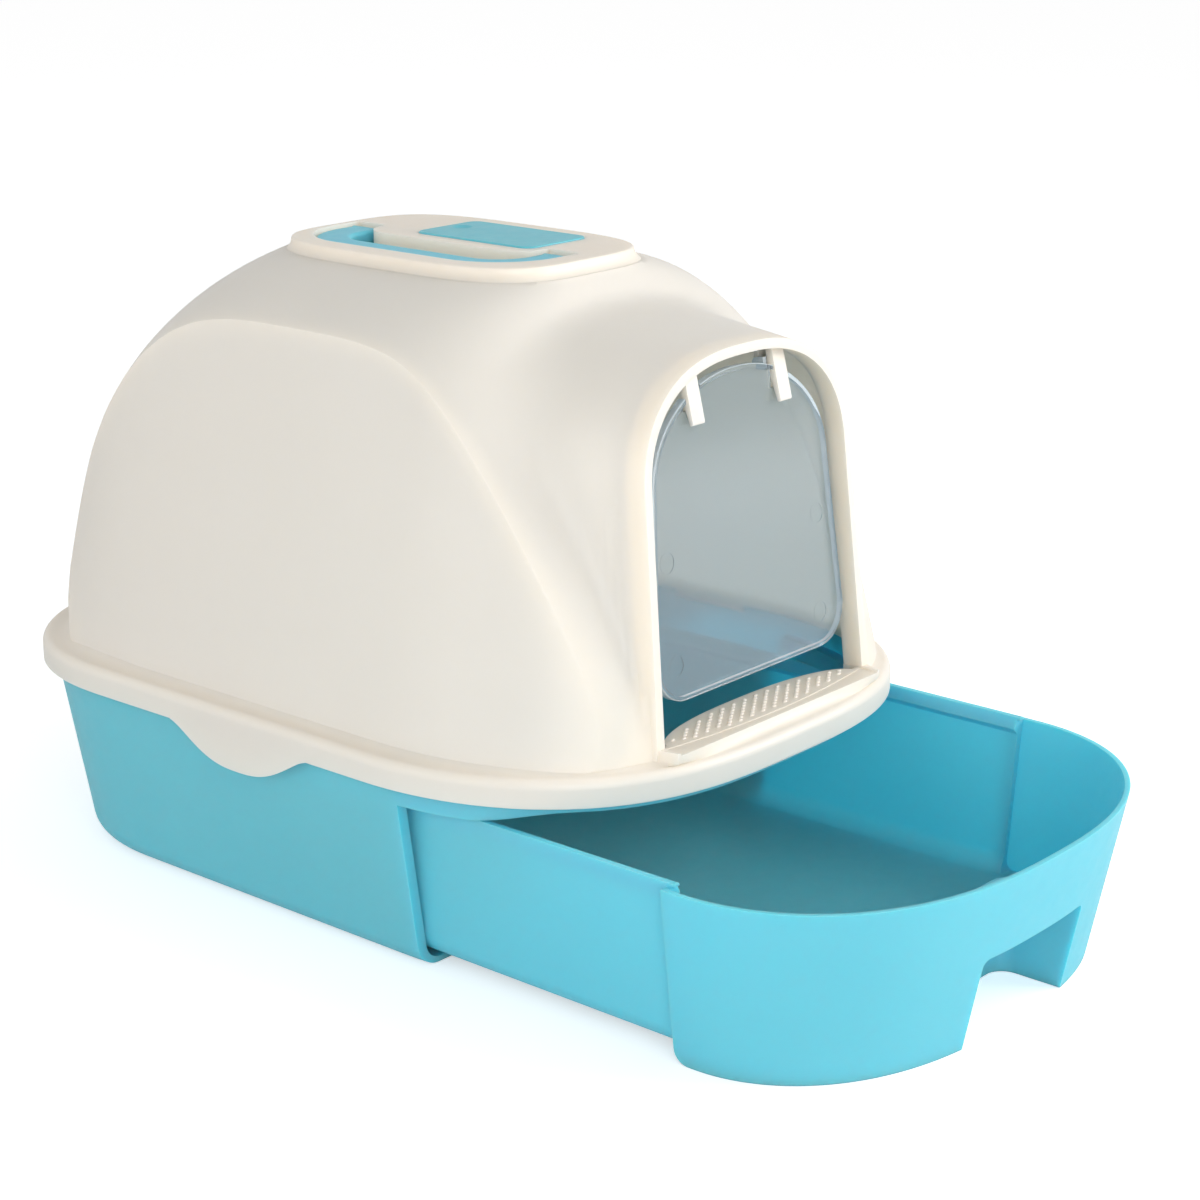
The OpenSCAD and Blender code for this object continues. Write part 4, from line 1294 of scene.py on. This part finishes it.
# %% Felt material
made, tree, place, output = blank("needle_felt_charcoal")
felt = made
fibre = add(
    tree,
    "ShaderNodeTexNoise",
    {"Vector": place, "Scale": 1 / (1.2 * MM), "Detail": 8, "Roughness": 0.7},
).outputs["Fac"]
shade = add(
    tree,
    "ShaderNodeMix",
    {0: fibre, 6: colour("26282b"), 7: colour("43464a")},
    data_type="RGBA",
).outputs[2]
fuzz = add(
    tree,
    "ShaderNodeBump",
    {"Height": fibre, "Strength": 0.8, "Distance": 0.5 * MM},
).outputs["Normal"]
shader = add(
    tree,
    "ShaderNodeBsdfPrincipled",
    {
        "Base Color": shade,
        "Roughness": 0.95,
        "Normal": fuzz,
        "Sheen Weight": 0.4,
        "Sheen Roughness": 0.5,
    },
)
tree.links.new(shader.outputs["BSDF"], output.inputs["Surface"])

# %% Give every piece its finish
FINISHES = {
    "tray_plastic": blue_plastic,
    "hood_plastic": cream_plastic,
    "clear_plastic": frosted_plastic,
    "filter_felt": felt,
}
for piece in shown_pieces():
    if "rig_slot" in piece:
        piece.data.materials.clear()
        piece.data.materials.append(FINISHES[piece["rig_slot"]])
for node in frame["nodes"].values():
    slot = next(
        part["material_slot"]
        for part in frame["record"]["subparts"]
        if part["node"] == node["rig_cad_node"]
    )
    for index in range(len(node.material_slots)):
        node.material_slots[index].material = FINISHES[slot]

# %% [markdown]
# ## Studio
#
# The photograph is a cut-out on white. Its light is broad and soft: the key comes from
# the right front, a second softbox stands near the camera at the left front, and a weak
# fill comes from the left. Little comes from above, for the top plate is darker than
# the sides, so the air grows dimmer upwards. The floor is a pale plane that keeps the
# object's shadow. For camera rays it glows a little, so that it runs into the white
# background with no horizon.

# %% Floor
FLOOR_SIZE, FLOOR_UNDER = 14, 0.2 * MM
bpy.ops.object.select_all(action="DESELECT")
bpy.ops.mesh.primitive_plane_add(size=FLOOR_SIZE, location=(0, 0, -FLOOR_UNDER))
floor = bpy.context.object
floor.name = "studio_floor"
bpy.ops.object.transform_apply(location=True, rotation=True, scale=True)
made, tree, place, output = blank("matt_white_paper")
paper = add(tree, "ShaderNodeBsdfDiffuse", {"Color": (0.86, 0.86, 0.86, 1)})
rays = add(tree, "ShaderNodeLightPath")
faint = add(
    tree,
    "ShaderNodeMath",
    {0: rays.outputs["Is Camera Ray"], 1: 0.5},
    operation="MULTIPLY",
).outputs[0]
glow = add(tree, "ShaderNodeEmission", {"Color": (1, 1, 1, 1), "Strength": faint})
both = add(tree, "ShaderNodeAddShader", {0: paper.outputs["BSDF"], 1: glow.outputs["Emission"]})
tree.links.new(both.outputs["Shader"], output.inputs["Surface"])
floor.data.materials.append(made)
print("floor of", FLOOR_SIZE, "m")

# %% World
world = bpy.data.worlds.new("studio_air")
bpy.context.scene.world = world
world.use_nodes = True
tree = world.node_tree
tree.nodes.clear()
output = add(tree, "ShaderNodeOutputWorld")
height = add(
    tree,
    "ShaderNodeSeparateXYZ",
    {"Vector": add(tree, "ShaderNodeTexCoord").outputs["Generated"]},
).outputs["Z"]
level = add(
    tree,
    "ShaderNodeMapRange",
    {"Value": height, "From Min": 0.0, "From Max": 1.0, "To Min": 0.85, "To Max": 0.42},
).outputs["Result"]
rays = add(tree, "ShaderNodeLightPath")
ambient = add(tree, "ShaderNodeBackground", {"Color": (1, 1, 1, 1), "Strength": level})
white = add(tree, "ShaderNodeBackground", {"Color": (1, 1, 1, 1), "Strength": 1})
mixed = add(
    tree,
    "ShaderNodeMixShader",
    {
        0: rays.outputs["Is Camera Ray"],
        1: ambient.outputs["Background"],
        2: white.outputs["Background"],
    },
)
tree.links.new(mixed.outputs["Shader"], output.inputs["Surface"])

# %% Lights
AIM = Vector((0, -0.1, 0.18))
LAMPS = {
    "key_softbox": ((1.5, -2.0, 1.3), 1.6, 40),
    "fill_softbox": ((-2.4, 0.5, 0.9), 1.8, 9),
    "front_softbox": ((-1.6, -2.1, 0.8), 1.6, 22),
}
for name, (place, size, power) in LAMPS.items():
    bpy.ops.object.light_add(type="AREA", location=place)
    lamp = bpy.context.object
    lamp.name = name
    lamp.data.shape = "SQUARE"
    lamp.data.size = size
    lamp.data.energy = power
    lamp.rotation_euler = (AIM - Vector(place)).to_track_quat("-Z", "Y").to_euler()

bpy.context.scene.view_settings.view_transform = "Standard"
print("lamps:", sorted(LAMPS))
